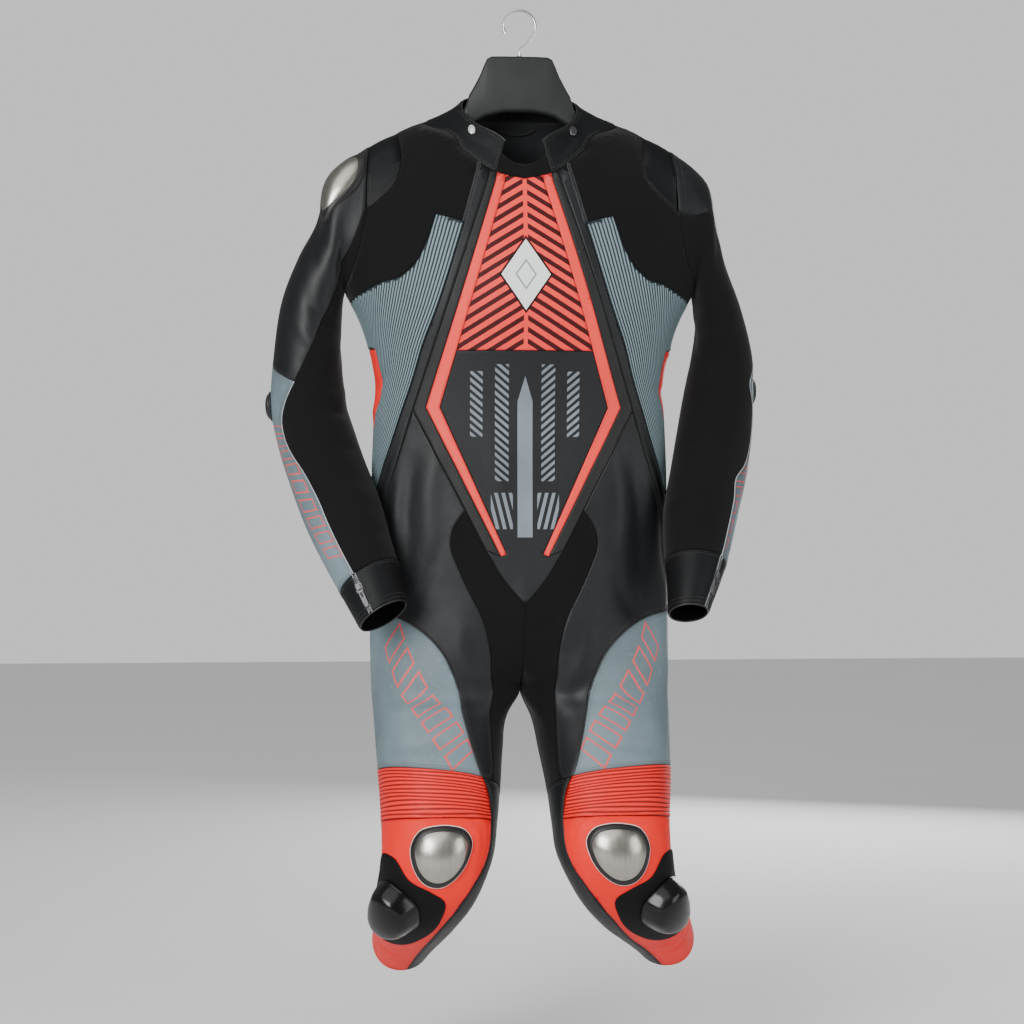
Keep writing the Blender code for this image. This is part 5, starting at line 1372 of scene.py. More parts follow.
def rows_of(name, lines, shape, spacing, finish, slot, unevenness=1.15):
    """Small shapes along lines of (places, outward directions), as one plain mesh."""
    places, outs = (np.vstack([line[i] for line in lines]) for i in range(2))
    edges, first = [], 0
    for line, _ in lines:
        edges += [(first + i, first + i + 1) for i in range(len(line) - 1)]
        first += len(line)
    mesh = bpy.data.meshes.new(name)
    mesh.from_pydata([tuple(map(float, place)) for place in places], edges, [])
    mesh.attributes.new("outside", "FLOAT_VECTOR", "POINT").data.foreach_set(
        "vector", outs.astype(np.float32).ravel())
    guide = linked(name + "_guide", mesh)
    modifier = guide.modifiers.new("rows", "NODES")
    modifier.node_group = ROW_TREE
    for key, value in (("Spacing", spacing), ("Shape", shape), ("Unevenness", unevenness),
                       ("Finish", finish.material)):
        modifier[ROW_INPUTS[key]] = value
    evaluated = guide.evaluated_get(bpy.context.evaluated_depsgraph_get())
    made = linked(name, bpy.data.meshes.new_from_object(evaluated))
    bpy.data.objects.remove(guide, do_unlink=True)
    made.data.name = name
    made.data.materials.clear()
    made.data.materials.append(finish.material)
    finished(made, slot)


def small_shape(name, rings, sides):
    """A small closed shape along X from rings of (x, half width, half height, lift)."""
    turns = np.linspace(0, 2 * math.pi, sides, endpoint=False)
    made = tube(name, [columns(np.full(sides, x), wide * np.cos(turns),
                               lift + high * np.sin(turns)) * MM
                       for x, wide, high, lift in rings], THREAD_BLACK, 80)
    made.hide_render = True
    return made


# ---------------------------------------------------------------- finishes


def maths(operation):
    """A shader calculation on a value and any others."""
    return lambda *values: values[0].tree.add("ShaderNodeMath", {"operation": operation},
                                              dict(enumerate(values)))


class Value:
    """A shader socket with the arithmetic that the finishes below use."""

    __add__ = __radd__ = maths("ADD")
    __mul__ = __rmul__ = maths("MULTIPLY")
    __sub__, __truediv__, __abs__ = maths("SUBTRACT"), maths("DIVIDE"), maths("ABSOLUTE")
    __lt__, __gt__ = maths("LESS_THAN"), maths("GREATER_THAN")
    least, most, fraction = maths("MINIMUM"), maths("MAXIMUM"), maths("FRACT")

    def __init__(self, tree, socket):
        self.tree, self.socket = tree, socket

    def __rsub__(self, other):
        return self.tree.add("ShaderNodeMath", {"operation": "SUBTRACT"}, {0: other, 1: self})

    def between(self, low, high):
        return (self > low) * (self < high)

    def ramp(self, low, high):
        """0 at low, 1 at high, smooth between them."""
        return self.tree.add("ShaderNodeMapRange", {"interpolation_type": "SMOOTHSTEP"},
                             {0: self, 1: low, 2: high})


class Finish:
    """A material and the nodes that feed its Principled shader."""

    def __init__(self, name, colour, rough, **constants):
        self.material = bpy.data.materials.new(name)
        self.material.use_nodes = True
        self.nodes = self.material.node_tree.nodes
        self.links = self.material.node_tree.links
        self.shader = self.nodes["Principled BSDF"]
        self.shader.inputs["Base Color"].default_value = (*colour, 1.0)
        self.set(roughness=rough, **constants)
        self.coordinates = self.nodes.new("ShaderNodeTexCoord")
        self.bump_out = None

    def feed(self, node, values):
        for key, value in values.items():
            if isinstance(value, Value):
                self.links.new(value.socket, node.inputs[key])
            elif isinstance(value, tuple) and node.inputs[key].type == "RGBA":
                node.inputs[key].default_value = (*value, 1.0)
            else:
                node.inputs[key].default_value = value
        return node

    def add(self, kind, settings, values, output=0):
        node = self.nodes.new(kind)
        for key, value in settings.items():
            setattr(node, key, value)
        return Value(self, self.feed(node, values).outputs[output])

    def place(self, output="Object"):
        return Value(self, self.coordinates.outputs[output])

    def axes(self, output="Object"):
        node = self.feed(self.nodes.new("ShaderNodeSeparateXYZ"), {0: self.place(output)})
        return [Value(self, socket) for socket in node.outputs]

    def attribute(self, name):
        return self.add("ShaderNodeAttribute", {"attribute_name": name}, {}, "Fac")

    def noise(self, scale, detail=2.0, vector=None):
        return self.add("ShaderNodeTexNoise", {}, {
            "Scale": scale, "Detail": detail, "Roughness": 0.5, "Vector": vector or self.place()})

    def cells(self, scale):
        return self.add("ShaderNodeTexVoronoi", {}, {"Scale": scale, "Vector": self.place()})

    def stretched(self, *scale):
        return self.add("ShaderNodeMapping", {}, {"Vector": self.place(), "Scale": scale})

    def mix(self, amount, first, second):
        return self.add("ShaderNodeMix", {"data_type": "RGBA"}, {0: amount, 6: first, 7: second},
                        2)

    def paint(self, colour):
        self.links.new(colour.socket, self.shader.inputs["Base Color"])

    def set(self, **sockets):
        """Feed shader sockets named as keywords, such as "Specular IOR Level"."""
        self.feed(self.shader, {key.replace("_", " ").title().replace("Ior", "IOR"): value
                                for key, value in sockets.items()})

    def bump(self, height, distance, strength=1.0):
        node = self.feed(self.nodes.new("ShaderNodeBump"),
                         {"Height": height, "Distance": distance, "Strength": strength})
        if self.bump_out:
            self.links.new(self.bump_out, node.inputs["Normal"])
        self.bump_out = node.outputs[0]
        self.links.new(self.bump_out, self.shader.inputs["Normal"])

    def seamed(self, tone, share, colour):
        """Paint a tone that darkens along the seams."""
        self.paint(self.mix(self.attribute("seam") * share, tone, colour))


def shade(colour, share):
    """A colour made lighter or darker."""
    return tuple(min(1.0, part * share) for part in colour)


def leather(name, colour, rough=0.46, worn=1.35, mottle=0.14, seam_dirt=0.45, gloss=0.42):
    """Grained leather: pebbled grain, soft mottling, creased sheen and dark seam edges."""
    made = Finish(name, colour, rough, coat_roughness=0.35, specular_ior_level=gloss)
    broad, fine = made.noise(7.0, 3.0), made.noise(55.0, 4.0)
    tone = made.mix(broad.ramp(0.32, 0.68), shade(colour, 1 - mottle), shade(colour, 1 + mottle))
    rubbed = fine.ramp(0.55, 0.75) * broad.ramp(0.45, 0.62)
    tone = made.mix(rubbed * 0.45, tone, shade(colour, worn))
    made.seamed(tone, seam_dirt, shade(colour, 0.35))
    made.set(roughness=rough - 0.05 + 0.14 * fine + 0.06 * broad)
    made.bump(made.cells(620.0), 0.00016, 0.55)
    made.bump(made.noise(190.0, 3.0, made.stretched(1.0, 1.0, 0.55)), 0.00045, 0.30)
    made.bump(made.noise(26.0), 0.0022, 0.30)
    return made


def stretch_cloth(name, colour, rough=0.92):
    """Matt knitted stretch cloth: fine wales across small dark gaps."""
    made = Finish(name, colour, rough, sheen_weight=0.07, sheen_roughness=0.45,
                  specular_ior_level=0.18)
    across, along, _ = made.axes("UV")
    wale = (across * 900.0).fraction()
    course = (along * 760.0 + (across * 450.0).fraction().ramp(0.0, 1.0) * 0.5).fraction()
    stitch = (1.0 - abs(wale - 0.5) * 2.0) * (1.0 - abs(course - 0.5) * 2.0)
    broad = made.noise(9.0, 3.0)
    tone = made.mix(stitch.ramp(0.0, 0.5), shade(colour, 0.55), shade(colour, 1.25))
    tone = made.mix(broad.ramp(0.35, 0.7) * 0.5, tone, shade(colour, 1.6))
    made.seamed(tone, 0.4, shade(colour, 0.4))
    made.set(roughness=rough - 0.08 + 0.12 * broad)
    made.bump(stitch, 0.00030, 0.6)
    made.bump(made.noise(30.0, 3.0), 0.0016, 0.35)
    return made


def ribbed_leather(name, crest, groove, rough=0.5):
    """Stitched ribs of leather: painted shade in the grooves, painted highlight on the crests."""
    made = leather(name, crest, rough, gloss=0.28)
    relief, fine = made.attribute("relief"), made.noise(120.0, 3.0)
    # Painted shade: low in the relief, the grooves between the ribs take the dark groove colour.
    tone = made.mix(relief.ramp(0.60, 0.88), groove, shade(crest, 0.95))
    # Painted highlight: the crests' tops are made lighter, unevenly.
    tone = made.mix(relief.ramp(0.84, 1.0) * (0.3 + 0.5 * fine), tone, shade(crest, 1.22))
    made.seamed(tone, 0.5, shade(groove, 0.5))
    return made


def printed_hatch(name, colour, ink, white):
    """The upper front panel: stacked chevron bars round a plain white lozenge."""
    made = leather(name, colour, 0.52, seam_dirt=0.3, gloss=0.20)
    x, _, z = made.axes()
    fine, side = made.noise(160.0), abs(x)
    rise = (z + side * CHEVRON_SLOPE) / CHEVRON_PITCH
    bar = (rise.fraction() + fine * 0.05).between(0.06, CHEVRON_SHARE + 0.06)
    tone = made.mix(fine.ramp(0.35, 0.75) * 0.3, colour, shade(colour, 1.25))
    # Painted highlight: the panel grows lighter towards its top, where the light from above falls.
    tone = made.mix((z + 0.50).ramp(0.0, 0.16) * 0.30, tone, shade(colour, 1.35))
    tone = made.mix(bar * (side > CHEVRON_GAP) * 0.98, tone, ink)
    lozenge = side / LOZENGE[0] + abs(z - LOZENGE[2]) / LOZENGE[1]
    tone = made.mix((lozenge < 1.10) * 0.97, tone, shade(ink, 0.4))
    tone = made.mix((lozenge < 1.0) * 0.97, tone, made.mix(fine, shade(white, 0.94), white))
    tone = made.mix((lozenge < 0.44) * (lozenge > 0.36) * 0.9, tone, shade(white, 0.25))
    made.seamed(tone, 0.35, shade(ink, 0.5))
    return made


def printed_bars(name, colour, ink):
    """The lower front panel: a plain middle blade between two ladders of slanting bars."""
    made = leather(name, colour, 0.52, gloss=0.24)
    x, _, z = made.axes()
    fine, broad, side = made.noise(170.0), made.noise(7.0, 3.0), abs(x)

    def field(x0, x1, z0, z1):
        return side.between(x0, x1) * z.between(z0, z1)

    drop = (z - BLADE_TOP) * -1.0
    blade = (side < (drop * BLADE_FLARE).least(BLADE_HALF)) * drop.between(0.0, BLADE_LENGTH)
    bars = ((z + side * LADDER_SLOPE) / LADDER_PITCH).fraction() < 0.5
    foot = ((side - z * 0.25) / FOOT_PITCH).fraction() < 0.5
    shown = blade.most(bars * field(*LADDER_IN).most(field(*LADDER_OUT)))
    shown = shown.most(foot * field(*FOOT))
    tone = made.mix(broad.ramp(0.32, 0.68), shade(colour, 0.85), shade(colour, 1.15))
    printed = made.mix(broad.ramp(0.3, 0.7), shade(ink, 0.82), shade(ink, 1.1))
    made.seamed(made.mix(shown * (0.88 + 0.1 * fine), tone, printed), 0.45, shade(colour, 0.35))
    return made


def slanted_outlines(name, colour, line):
    """Grey leather with a row of outlined slanting bars, laid along the print attribute."""
    made = leather(name, colour, 0.5, worn=1.25)
    along, across = made.attribute("print_along"), made.attribute("print_across")
    run = along / BAR_PITCH + across / BAR_PITCH * BAR_LEAN
    in_cell, off = abs(run.fraction() - 0.5) * BAR_PITCH, abs(across)
    outer = (in_cell < BAR_HALF) * (off < BAR_REACH)
    inner = (in_cell < BAR_HALF - BAR_LINE) * (off < BAR_REACH - BAR_LINE)
    shown = (outer - inner) * run.between(0.0, made.attribute("print_count"))
    fine, broad = made.noise(140.0), made.noise(8.0, 3.0)
    tone = made.mix(broad.ramp(0.30, 0.70), shade(colour, 0.78), shade(colour, 1.18))
    tone = made.mix(fine.ramp(0.5, 0.8) * 0.35, tone, shade(colour, 1.35))
    tone = made.mix(shown * (0.72 + 0.25 * fine), tone, line)
    made.seamed(tone, 0.55, shade(colour, 0.25))
    return made


def brushed_metal(name, colour, rough=0.34):
    """A metal plate brushed down its length, with faint smears."""
    made = Finish(name, colour, rough, metallic=1.0)
    streaks = made.noise(260.0, 3.0, made.stretched(1.0, 1.0, 0.045))
    smears = made.noise(28.0, 3.0)
    tone = made.mix(streaks.ramp(0.3, 0.7), shade(colour, 0.93), shade(colour, 1.06))
    made.paint(made.mix(smears.ramp(0.5, 0.75) * 0.3, tone, shade(colour, 0.82)))
    made.set(roughness=rough - 0.02 + 0.05 * streaks + 0.05 * smears)
    made.bump(streaks, 0.00003, 0.3)
    return made


def moulded_plastic(name, colour, rough, scuffs, coat=0.0, grain=0.0, gloss=0.34):
    """Moulded plastic, lightly scuffed in scattered streaks."""
    made = Finish(name, colour, rough, coat_weight=coat, coat_roughness=0.12,
                  specular_ior_level=gloss)
    scratch = made.noise(75.0, 5.0, made.stretched(1.0, 0.35, 1.6))
    broad = made.noise(14.0)
    worn = scratch.ramp(0.60, 0.70) * scuffs
    tone = made.mix(broad.ramp(0.3, 0.7), shade(colour, 0.85), shade(colour, 1.2))
    made.paint(made.mix(worn * 0.5, tone, shade(colour, 4.0)))
    made.set(roughness=rough + 0.25 * worn + 0.08 * broad)
    made.bump(made.noise(900.0), 0.00010, 0.10 + grain)
    made.bump(scratch, 0.0002, 0.10 * scuffs)
    return made


def thread(name, colour):
    made = Finish(name, colour, 0.75, sheen_weight=0.2)
    twist = made.noise(1500.0, 1.0)
    made.paint(made.mix(twist, shade(colour, 0.6), shade(colour, 1.25)))
    made.bump(twist, 0.0001, 0.4)
    return made


# Prints, in metres: chevrons and lozenge above, blade and ladders below, bars on thigh and arm.
CHEVRON_PITCH, CHEVRON_SHARE, CHEVRON_SLOPE, CHEVRON_GAP = 0.0168, 0.46, 0.62, 0.003
LOZENGE = (0.036, 0.052, -0.405)
BLADE_TOP, BLADE_HALF, BLADE_FLARE, BLADE_LENGTH = -0.552, 0.011, 0.30, 0.235
LADDER_PITCH, LADDER_SLOPE, FOOT_PITCH = 0.0112, -0.85, 0.0105
LADDER_IN = (0.024, 0.044, -0.705, -0.535)
LADDER_OUT = (0.062, 0.080, -0.640, -0.545)
FOOT = (0.018, 0.050, -0.775, -0.722)
BAR_PITCH, BAR_HALF, BAR_REACH, BAR_LINE, BAR_LEAN = 0.036, 0.0125, 0.0230, 0.0030, 0.55

# ---------------------------------------------------------------- the garment

CORAL_COLOUR = (0.80, 0.014, 0.010)

BLACK = leather("black grained leather", (0.0082, 0.0092, 0.0102), 0.42, 2.0, 0.26, gloss=0.26)
DULL_BLACK = leather("black trim leather", (0.0052, 0.0058, 0.0064), 0.48, gloss=0.15)
CHARCOAL = leather("charcoal trim leather", (0.0135, 0.0140, 0.0140), 0.50, gloss=0.25)
CORAL = leather("coral knee leather", CORAL_COLOUR, 0.45, 1.10, 0.07, gloss=0.15)
BAND = leather("coral band", (0.88, 0.040, 0.029), 0.50, 1.06, 0.04, 0.55)
STRETCH = stretch_cloth("black stretch cloth", (0.0028, 0.0029, 0.0030))
# A ribbed leather's second colour is the painted shade in its grooves.
RIBBED_GREY = ribbed_leather("grey ribbed leather", (0.158, 0.222, 0.240), (0.012, 0.019, 0.024))
RIBBED_CORAL = ribbed_leather("coral ribbed leather", CORAL_COLOUR, (0.22, 0.005, 0.004), 0.46)
UPPER_PRINT = printed_hatch("coral front with chevrons", (0.80, 0.045, 0.036),
                            (0.026, 0.003, 0.004), (0.80, 0.86, 0.82))
LOWER_PRINT = printed_bars("charcoal front with bars", (0.0115, 0.0126, 0.0138),
                           (0.19, 0.225, 0.255))
THIGH_GREY = slanted_outlines("grey leather with outlined bars", (0.130, 0.180, 0.202),
                              (0.74, 0.060, 0.050))
PLATE = brushed_metal("brushed plate metal", (0.40, 0.38, 0.34), 0.28)
RIM = moulded_plastic("black plate rim", (0.012, 0.012, 0.012), 0.36, 0.2)
PALE_EDGE = moulded_plastic("pale rim edge", (0.66, 0.60, 0.55), 0.45, 0.1)
SLIDER = moulded_plastic("glossy slider plastic", (0.0040, 0.0040, 0.0044), 0.17, 0.7, 0.12,
                         gloss=0.22)
SLIDER_BED = leather("slider bed leather", (0.0045, 0.0045, 0.005), 0.60, gloss=0.12)
CUP = moulded_plastic("elbow cup plastic", (0.011, 0.011, 0.012), 0.32, 0.4)
SNAPS = {"r": (brushed_metal("bright snap metal", (0.62, 0.62, 0.63), 0.26), "brushed_plate"),
         "l": (brushed_metal("dark snap metal", (0.17, 0.17, 0.18)), "dark_zip_metal")}
ZIP_METAL = brushed_metal("dark zip metal", (0.20, 0.20, 0.21))
BLACKENED = brushed_metal("blackened zip metal", (0.070, 0.070, 0.074), 0.36)
HANGER_PLASTIC = moulded_plastic("hanger plastic", (0.0165, 0.0185, 0.0185), 0.50, 0.15, 0.0,
                                 0.25)
HOOK_METAL = brushed_metal("hook steel", (0.62, 0.62, 0.62), 0.22)
THREAD_BLACK = thread("black thread", (0.014, 0.014, 0.015))
THREAD_GREY = thread("grey thread", (0.10, 0.115, 0.12))
THREAD_CORAL = thread("coral thread", (0.62, 0.045, 0.035))
PIPING = leather("black piping", (0.013, 0.013, 0.014), 0.36)
TAPE_EDGE = leather("dark zip tape edge", (0.036, 0.038, 0.040), 0.5)
PALE_PIPING = leather("pale grey piping", (0.36, 0.39, 0.41), 0.5)

CREASES_OF = {side: crease_paths(side) for side in SIDES}
for side in SIDES:
    CREASES_OF[side]["body"] += plate_arcs(side)
BOTH = {kind: CREASES_OF["r"][kind] + CREASES_OF["l"][kind] for kind in CREASES}
ROW_TREE, ROW_INPUTS = row_tree()
CLOTHS = {}


def make_panel(name, surface, loop, creases, finish, slot, relief=(), *print_on):
    CLOTHS[name] = Cloth(name, surface, loop, creases, relief)
    sew(CLOTHS[name], finish, slot, *print_on)


make_panel("kite_upper", BODY, crossing("kite_top kite_split", 0.0, neck_front), BOTH["body"],
           UPPER_PRINT, "coral_leather")
make_panel("kite_lower", BODY, crossing("kite_split kite_low band_end border_end vee"),
           BOTH["body"], LOWER_PRINT, "black_stretch_panel")
make_panel("back", BACK, crossing(
    "ridge shoulder_back armhole_back armpit rib_under rib_back side_red_back side_low waist",
    2.0, neck_back), BOTH["body"], BLACK, "black_leather")
make_panel("seat", BACK, crossing(
    "waist side_tip zip_end zip_cap hip_side thigh_top_back thigh_edge_high seat_edge", 2.0),
    BOTH["body"], BLACK, "black_leather")

LOOKS = {
    "band": BAND, "border": CHARCOAL, "zip_strip": BLACK, "chest": STRETCH,
    "shoulder": DULL_BLACK, "ribs": RIBBED_GREY, "side": CORAL, "hip": BLACK, "groin": STRETCH,
    "thigh": THIGH_GREY, "knee_ribs": RIBBED_CORAL, "knee": CORAL, "leg_back": BLACK,
    "upper_sleeve": BLACK, "inner_sleeve": STRETCH, "forearm": THIGH_GREY, "cuff": DULL_BLACK,
}
# Each print's line, from its first bar to past its last, and its size beside the thigh's.
PRINTS = {"thigh": (((0.668, 0.925), (0.385, 1.168)),),
          "forearm": (((20 / 90.0, 7.6), (52 / 90.0, 11.3)), 0.62)}
for side, seams in SEAMS.items():
    for row in PAIRED.strip().split("\n"):
        name, slot, *names = row.split()
        loop = chain(*(turned(seams[key], 2.0) if name == "leg_back" and key in ROUND_THE_LEG
                       else seams[key] for key in names))
        relief = ()
        if name == "ribs":
            zip_line = dict(front_rows())["zip_lower"][-1]
            relief = rib_net(loop, BODY.seen_at(*rounded(zip_line).T))
        elif name == "knee_ribs":
            relief = knee_net(seams["knee_top"], seams["ribs_end"])
        make_panel(name + "_" + side, HALF[side], loop, CREASES_OF[side]["body"], LOOKS[name],
                   slot, relief, *PRINTS.get(name, ()))
    for name, (slot, loop) in sleeve_loops(side).items():
        make_panel(name + "_" + side, SLEEVE[side], loop, CREASES_OF[side]["sleeve"],
                   LOOKS[name], slot, (), *PRINTS.get(name, ()))
make_panel("collar", COLLAR_BAND, collar_loop(), BOTH["collar"], DULL_BLACK, "black_leather")
make_panel("throat", COLLAR_BAND, throat_loop(), (), STRETCH, "black_stretch_panel")

# ---------------------------------------------------------------- plates, cups and sliders

# Profiles and sections: (scale about the middle, height in millimetres).
RIM_SCALES = {"knee": 0.815, "shoulder": 0.80}
DOME_ROWS = ((0.0, 12.0), (0.30, 11.65), (0.56, 10.4), (0.79, 8.4), (0.93, 6.5), (1.0, 5.2))
RIM_SECTION = ((-0.16, 3.0), (-0.12, 5.3), (0.0, 5.8), (0.28, 5.4), (0.62, 4.2), (0.88, 3.0),
               (1.0, 1.8), (1.0, 0.4), (0.5, 0.1))
BED_ROWS = ((0.0, 2.0), (0.5, 2.0), (0.93, 2.0), (0.975, 1.8), (0.995, 1.2), (1.0, 0.4))
PUCK_ROWS = ((0.0, 29.0), (0.34, 28.9), (0.62, 28.2), (0.745, 26.8), (0.835, 23.4), (0.905, 17.0),
             (0.965, 8.0), (0.985, 3.2), (1.0, 1.8), (1.0, 0.4))
PUCK_CORNER, PUCK_SCALE = 0.30, 1.06              # share of each side for its rounded corners
PUCK_LIFT = 3.4 * MM
CUP_ROWS = ((0.0, 9.0), (0.3, 8.6), (0.56, 7.4), (0.76, 5.6), (0.83, 4.4), (0.85, 3.2),
            (0.93, 2.7), (0.99, 2.0), (1.0, 1.2), (1.0, 0.3))
SNAP_ROWS = ((0.0, 2.1), (0.35, 2.15), (0.60, 2.0), (0.70, 1.75), (0.76, 1.95), (0.88, 2.0),
             (0.97, 1.4), (1.0, 0.7), (1.0, 0.2))


def plate(name, surface, centre, outline):
    """A brushed metal dome in a bevelled black rim, edged in pale cord at the knees."""
    rim_in = RIM_SCALES[name.split("_")[0]]
    finished(hard_piece(name + "_metal", surface, centre, outline * rim_in,
                        fine_profile(DOME_ROWS), PLATE), "brushed_plate", name)
    shape = outline * MM / step_sizes(surface, centre)
    rings = [laid(surface, centre, shape, rim_in + (1 - rim_in) * share, LIFT, height)
             for share, height in RIM_SECTION]
    finished(tube(name + "_rim", rings, RIM, closed=True), "black_moulded_plastic")
    at = (centre + shape * 1.012).T
    place, out = surface.point(*at), surface.normal(*at)
    finished(swept(name + "_edge", place + out * MM, out, 0.85 * MM,
                   PALE_EDGE if "knee" in name else RIM, closed=True), "brushed_plate")


def softened(outline, share, count=6):
    """An outline whose corners are rounded and whose sides stay nearly straight."""
    outline = np.array(outline, float)
    before = outline + (np.roll(outline, 1, axis=0) - outline) * share
    after = outline + (np.roll(outline, -1, axis=0) - outline) * share
    at = np.linspace(0.0, 1.0, count)[:, None]
    return np.vstack([(1 - at) ** 2 * p + 2 * at * (1 - at) * q + at ** 2 * r
                      for p, q, r in zip(before, outline, after)])


def block(name, origin, axes, outline, low, high, edge=0.3):
    """An outline in millimetres along two axes, raised along the third, with soft edges."""
    outline = np.array(outline, float)
    middle = outline.mean(axis=0)
    inner = 1.0 - edge / np.abs(outline - middle).max()

    def ring(scale, height):
        shape = middle + (outline - middle) * scale
        return origin + (shape[:, :1] * axes[0] + shape[:, 1:] * axes[1] + height * axes[2]) * MM

    rings = [ring(0.0, low)[:1], ring(inner, low), ring(1.0, low + edge),
             ring(1.0, high - edge), ring(inner, high), ring(0.0, high)[:1]]
    return stacked(name, rings, ZIP_METAL, 30)


# The cuff zip's slide and pull tab, in millimetres down the sleeve and across it.
SLIDE_BED = ((-8, -3.2), (-6.6, -4.8), (-3, -5.2), (4, -5.1), (7.2, -4.6), (8, -3.6), (8, 3.6),
             (7.2, 4.6), (4, 5.1), (-3, 5.2), (-6.6, 4.8), (-8, 3.2))
SLIDE_CROWN = ((-7, -2.2), (-5.6, -3.6), (2.0, -3.7), (3.2, -2.8), (3.2, 2.8), (2.0, 3.7),
               (-5.6, 3.6), (-7, 2.2))
SLIDE_CHEEK = ((3.0, 4.15), (7.0, 4.15), (7.6, 4.6), (7.0, 5.1), (3.0, 5.1))
TAB_PIVOT = (5.6, 2.4)
TAB_SIZE, TAB_HOLE = (25.9, 7.2), (8.6, 3.6)
TAB_GRIPS = (14.5, 16.6, 18.7, 20.8)


def cuff_zip(side):
    place, down, out, across = local_frame(SLEEVE[side], CUFFS[side][1] / 90.0, ZIP_SLIDE[side])
    axes = (down, across, out)
    name = "cuff_slider_" + side
    parts = [block("bed", place, axes, SLIDE_BED, 0.35, 1.3),
             block("crown", place, axes, SLIDE_CROWN, 1.2, 3.8, 0.7)]
    parts += [block("cheek", place, axes, np.array(SLIDE_CHEEK) * (1, sign), 1.2, 3.7, 0.2)
              for sign in (1, -1)]
    finished(joined(name + "_body", parts), "dark_zip_metal", name)
    pivot = place + down * TAB_PIVOT[0] * MM + out * TAB_PIVOT[1] * MM
    outer = rounded_outline(*TAB_SIZE, 44, 5.0) + (TAB_SIZE[0] / 2 - 0.9, 0)
    inner = rounded_outline(*TAB_HOLE, 44, 4.0) + (6.6, 0)
    soft = outer.mean(axis=0) + (outer - outer.mean(axis=0)) * 0.965
    loops = [pivot + (shape[:, :1] * down + shape[:, 1:] * across + height * out) * MM
             for shape, height in ((soft, -0.9), (outer, -0.6), (outer, 0.6), (soft, 0.9),
                                   (inner, 0.9), (inner, -0.9))]
    parts = [tube("tab", loops, ZIP_METAL, 30, True)]
    parts += [block("grip", pivot, axes, ((at, -2.4), (at + 0.9, -2.4), (at + 0.9, 2.4),
                                          (at, 2.4)), 0.7, 1.25, 0.2) for at in TAB_GRIPS]
    name = "pull_tab_" + side
    finished(joined(name + "_plate", parts), "dark_zip_metal", name, body=name)


for side in SIDES:
    half, sleeve = HALF[side], SLEEVE[side]
    plate("knee_plate_" + side, half, KNEE_PLATE, cloth_outline(side, KNEE_PLATE, PLATE_OUTLINE))
    plate("shoulder_cup_" + side, sleeve, CUPS[side], rounded_outline(72, 88, FINE, 2.4, 0.08))
    bed = cloth_outline(side, SLIDER_BASE, BASE_OUTLINE)
    finished(hard_piece("slider_base_%s_bed" % side, half, SLIDER_BASE, bed, BED_ROWS,
                        SLIDER_BED), "black_moulded_plastic", "slider_base_" + side)
    rise = half.normal(*np.array(PUCK)[:, None])[0]
    finished(hard_piece("knee_slider_%s_block" % side, half, PUCK,
                        softened(PUCK_OUTLINE, PUCK_CORNER) * PUCK_SCALE,
                        fine_profile(PUCK_ROWS, 3), SLIDER, PUCK_LIFT, rise, 60),
             "black_moulded_plastic", "knee_slider_" + side)
    finished(hard_piece("elbow_cup_%s_shell" % side, sleeve, ELBOWS[side],
                        rounded_outline(50, 46, FINE, 2.4), fine_profile(CUP_ROWS, 3), CUP,
                        sharp=50), "black_moulded_plastic", "elbow_cup_" + side)
    look, slot = SNAPS[side]
    finished(hard_piece("snap_%s_cap" % side, COLLAR_BAND, (SNAP_ANGLE * SIDES[side], SNAP_HEIGHT),
                        rounded_outline(15, 15, FINE, 2.0), SNAP_ROWS, look, sharp=60), slot,
             "snap_" + side)
    cuff_zip(side)

# ---------------------------------------------------------------- hanger and hook

HANGER = table("x top bottom half", """
0 -67 -151 8
24 -67 -152 8
42 -67.5 -156 8
49 -71 -158 8
54 -82 -160 8.2
60 -97 -164 8.4
68 -112 -169 8.6
76 -126 -174 8.8
81 -142 -178 9
89 -158 -184 9
106 -166 -191 9.5
124 -171 -200 11
150 -175 -213 12
180 -188 -226 13
205 -200 -234 13.5
222 -210 -238 12.5
229 -218 -236 7
""")
HANGER_CLEAR = (2.4, 0.9)       # the shoulders' wall and the room under it, in millimetres
HANGER_SIDES = 28
WIRE_RADIUS, HOOK_ROUND = 2.0 * MM, 22.0


def hanger_rings():
    """Upright sections from one end to the other, rounded along their top and bottom."""
    fine = np.linspace(BODY.t[0], 0.24, 400)
    ridge = BODY.point(np.full(400, 1.0), fine)[:, 0]
    steep = np.hypot(1.0, np.gradient(fine, ridge))
    keys, rings = HANGER["x"], []
    at = np.unique(np.concatenate([keys, np.linspace(0, keys[-1], 76)]))
    turns = np.linspace(0, 2 * math.pi, HANGER_SIDES, endpoint=False)
    for x in np.concatenate([-at[:0:-1], at]):
        top, bottom, half = (np.interp(abs(x), keys, HANGER[name])
                             for name in ("top", "bottom", "half"))
        if 124 * MM < abs(x) < 229 * MM:
            wall = HANGER_CLEAR[0] * np.interp(abs(x), ridge, steep) + HANGER_CLEAR[1]
            top = min(top, -np.interp(abs(x), ridge, fine) - wall * MM)
        flank = max((top - bottom) / 2 - half, 0.0)
        high = (top - bottom) / 2 - flank
        z = (top + bottom) / 2 + np.sign(np.cos(turns)) * flank + high * np.cos(turns)
        rings.append(columns(np.full(HANGER_SIDES, x), half * np.sin(turns), z))
    ends = [rings[i].mean(axis=0) + (sign * 2 * MM, 0, 0) for i, sign in ((0, -1), (-1, 1))]
    return ends[:1] + rings + ends[1:]


def hook_path():
    """The wire's middle line: round the rail, then down its stem, in the hanger's plane."""
    bend = HOOK_ROUND + WIRE_RADIUS / MM
    turns = np.radians(np.linspace(205, -38, 40))
    path = columns(bend * np.cos(turns), bend * np.sin(turns) - HOOK_ROUND)
    low = rounded([path[-1], (14.0, -43.5), (7.5, -50.0), (2.2, -55.0), (0.0, -60.0),
                   (0.0, -66.6)], 24)
    path = np.vstack([path[:-1], low])
    return columns(path[:, 0], np.zeros(len(path)), path[:, 1]) * MM


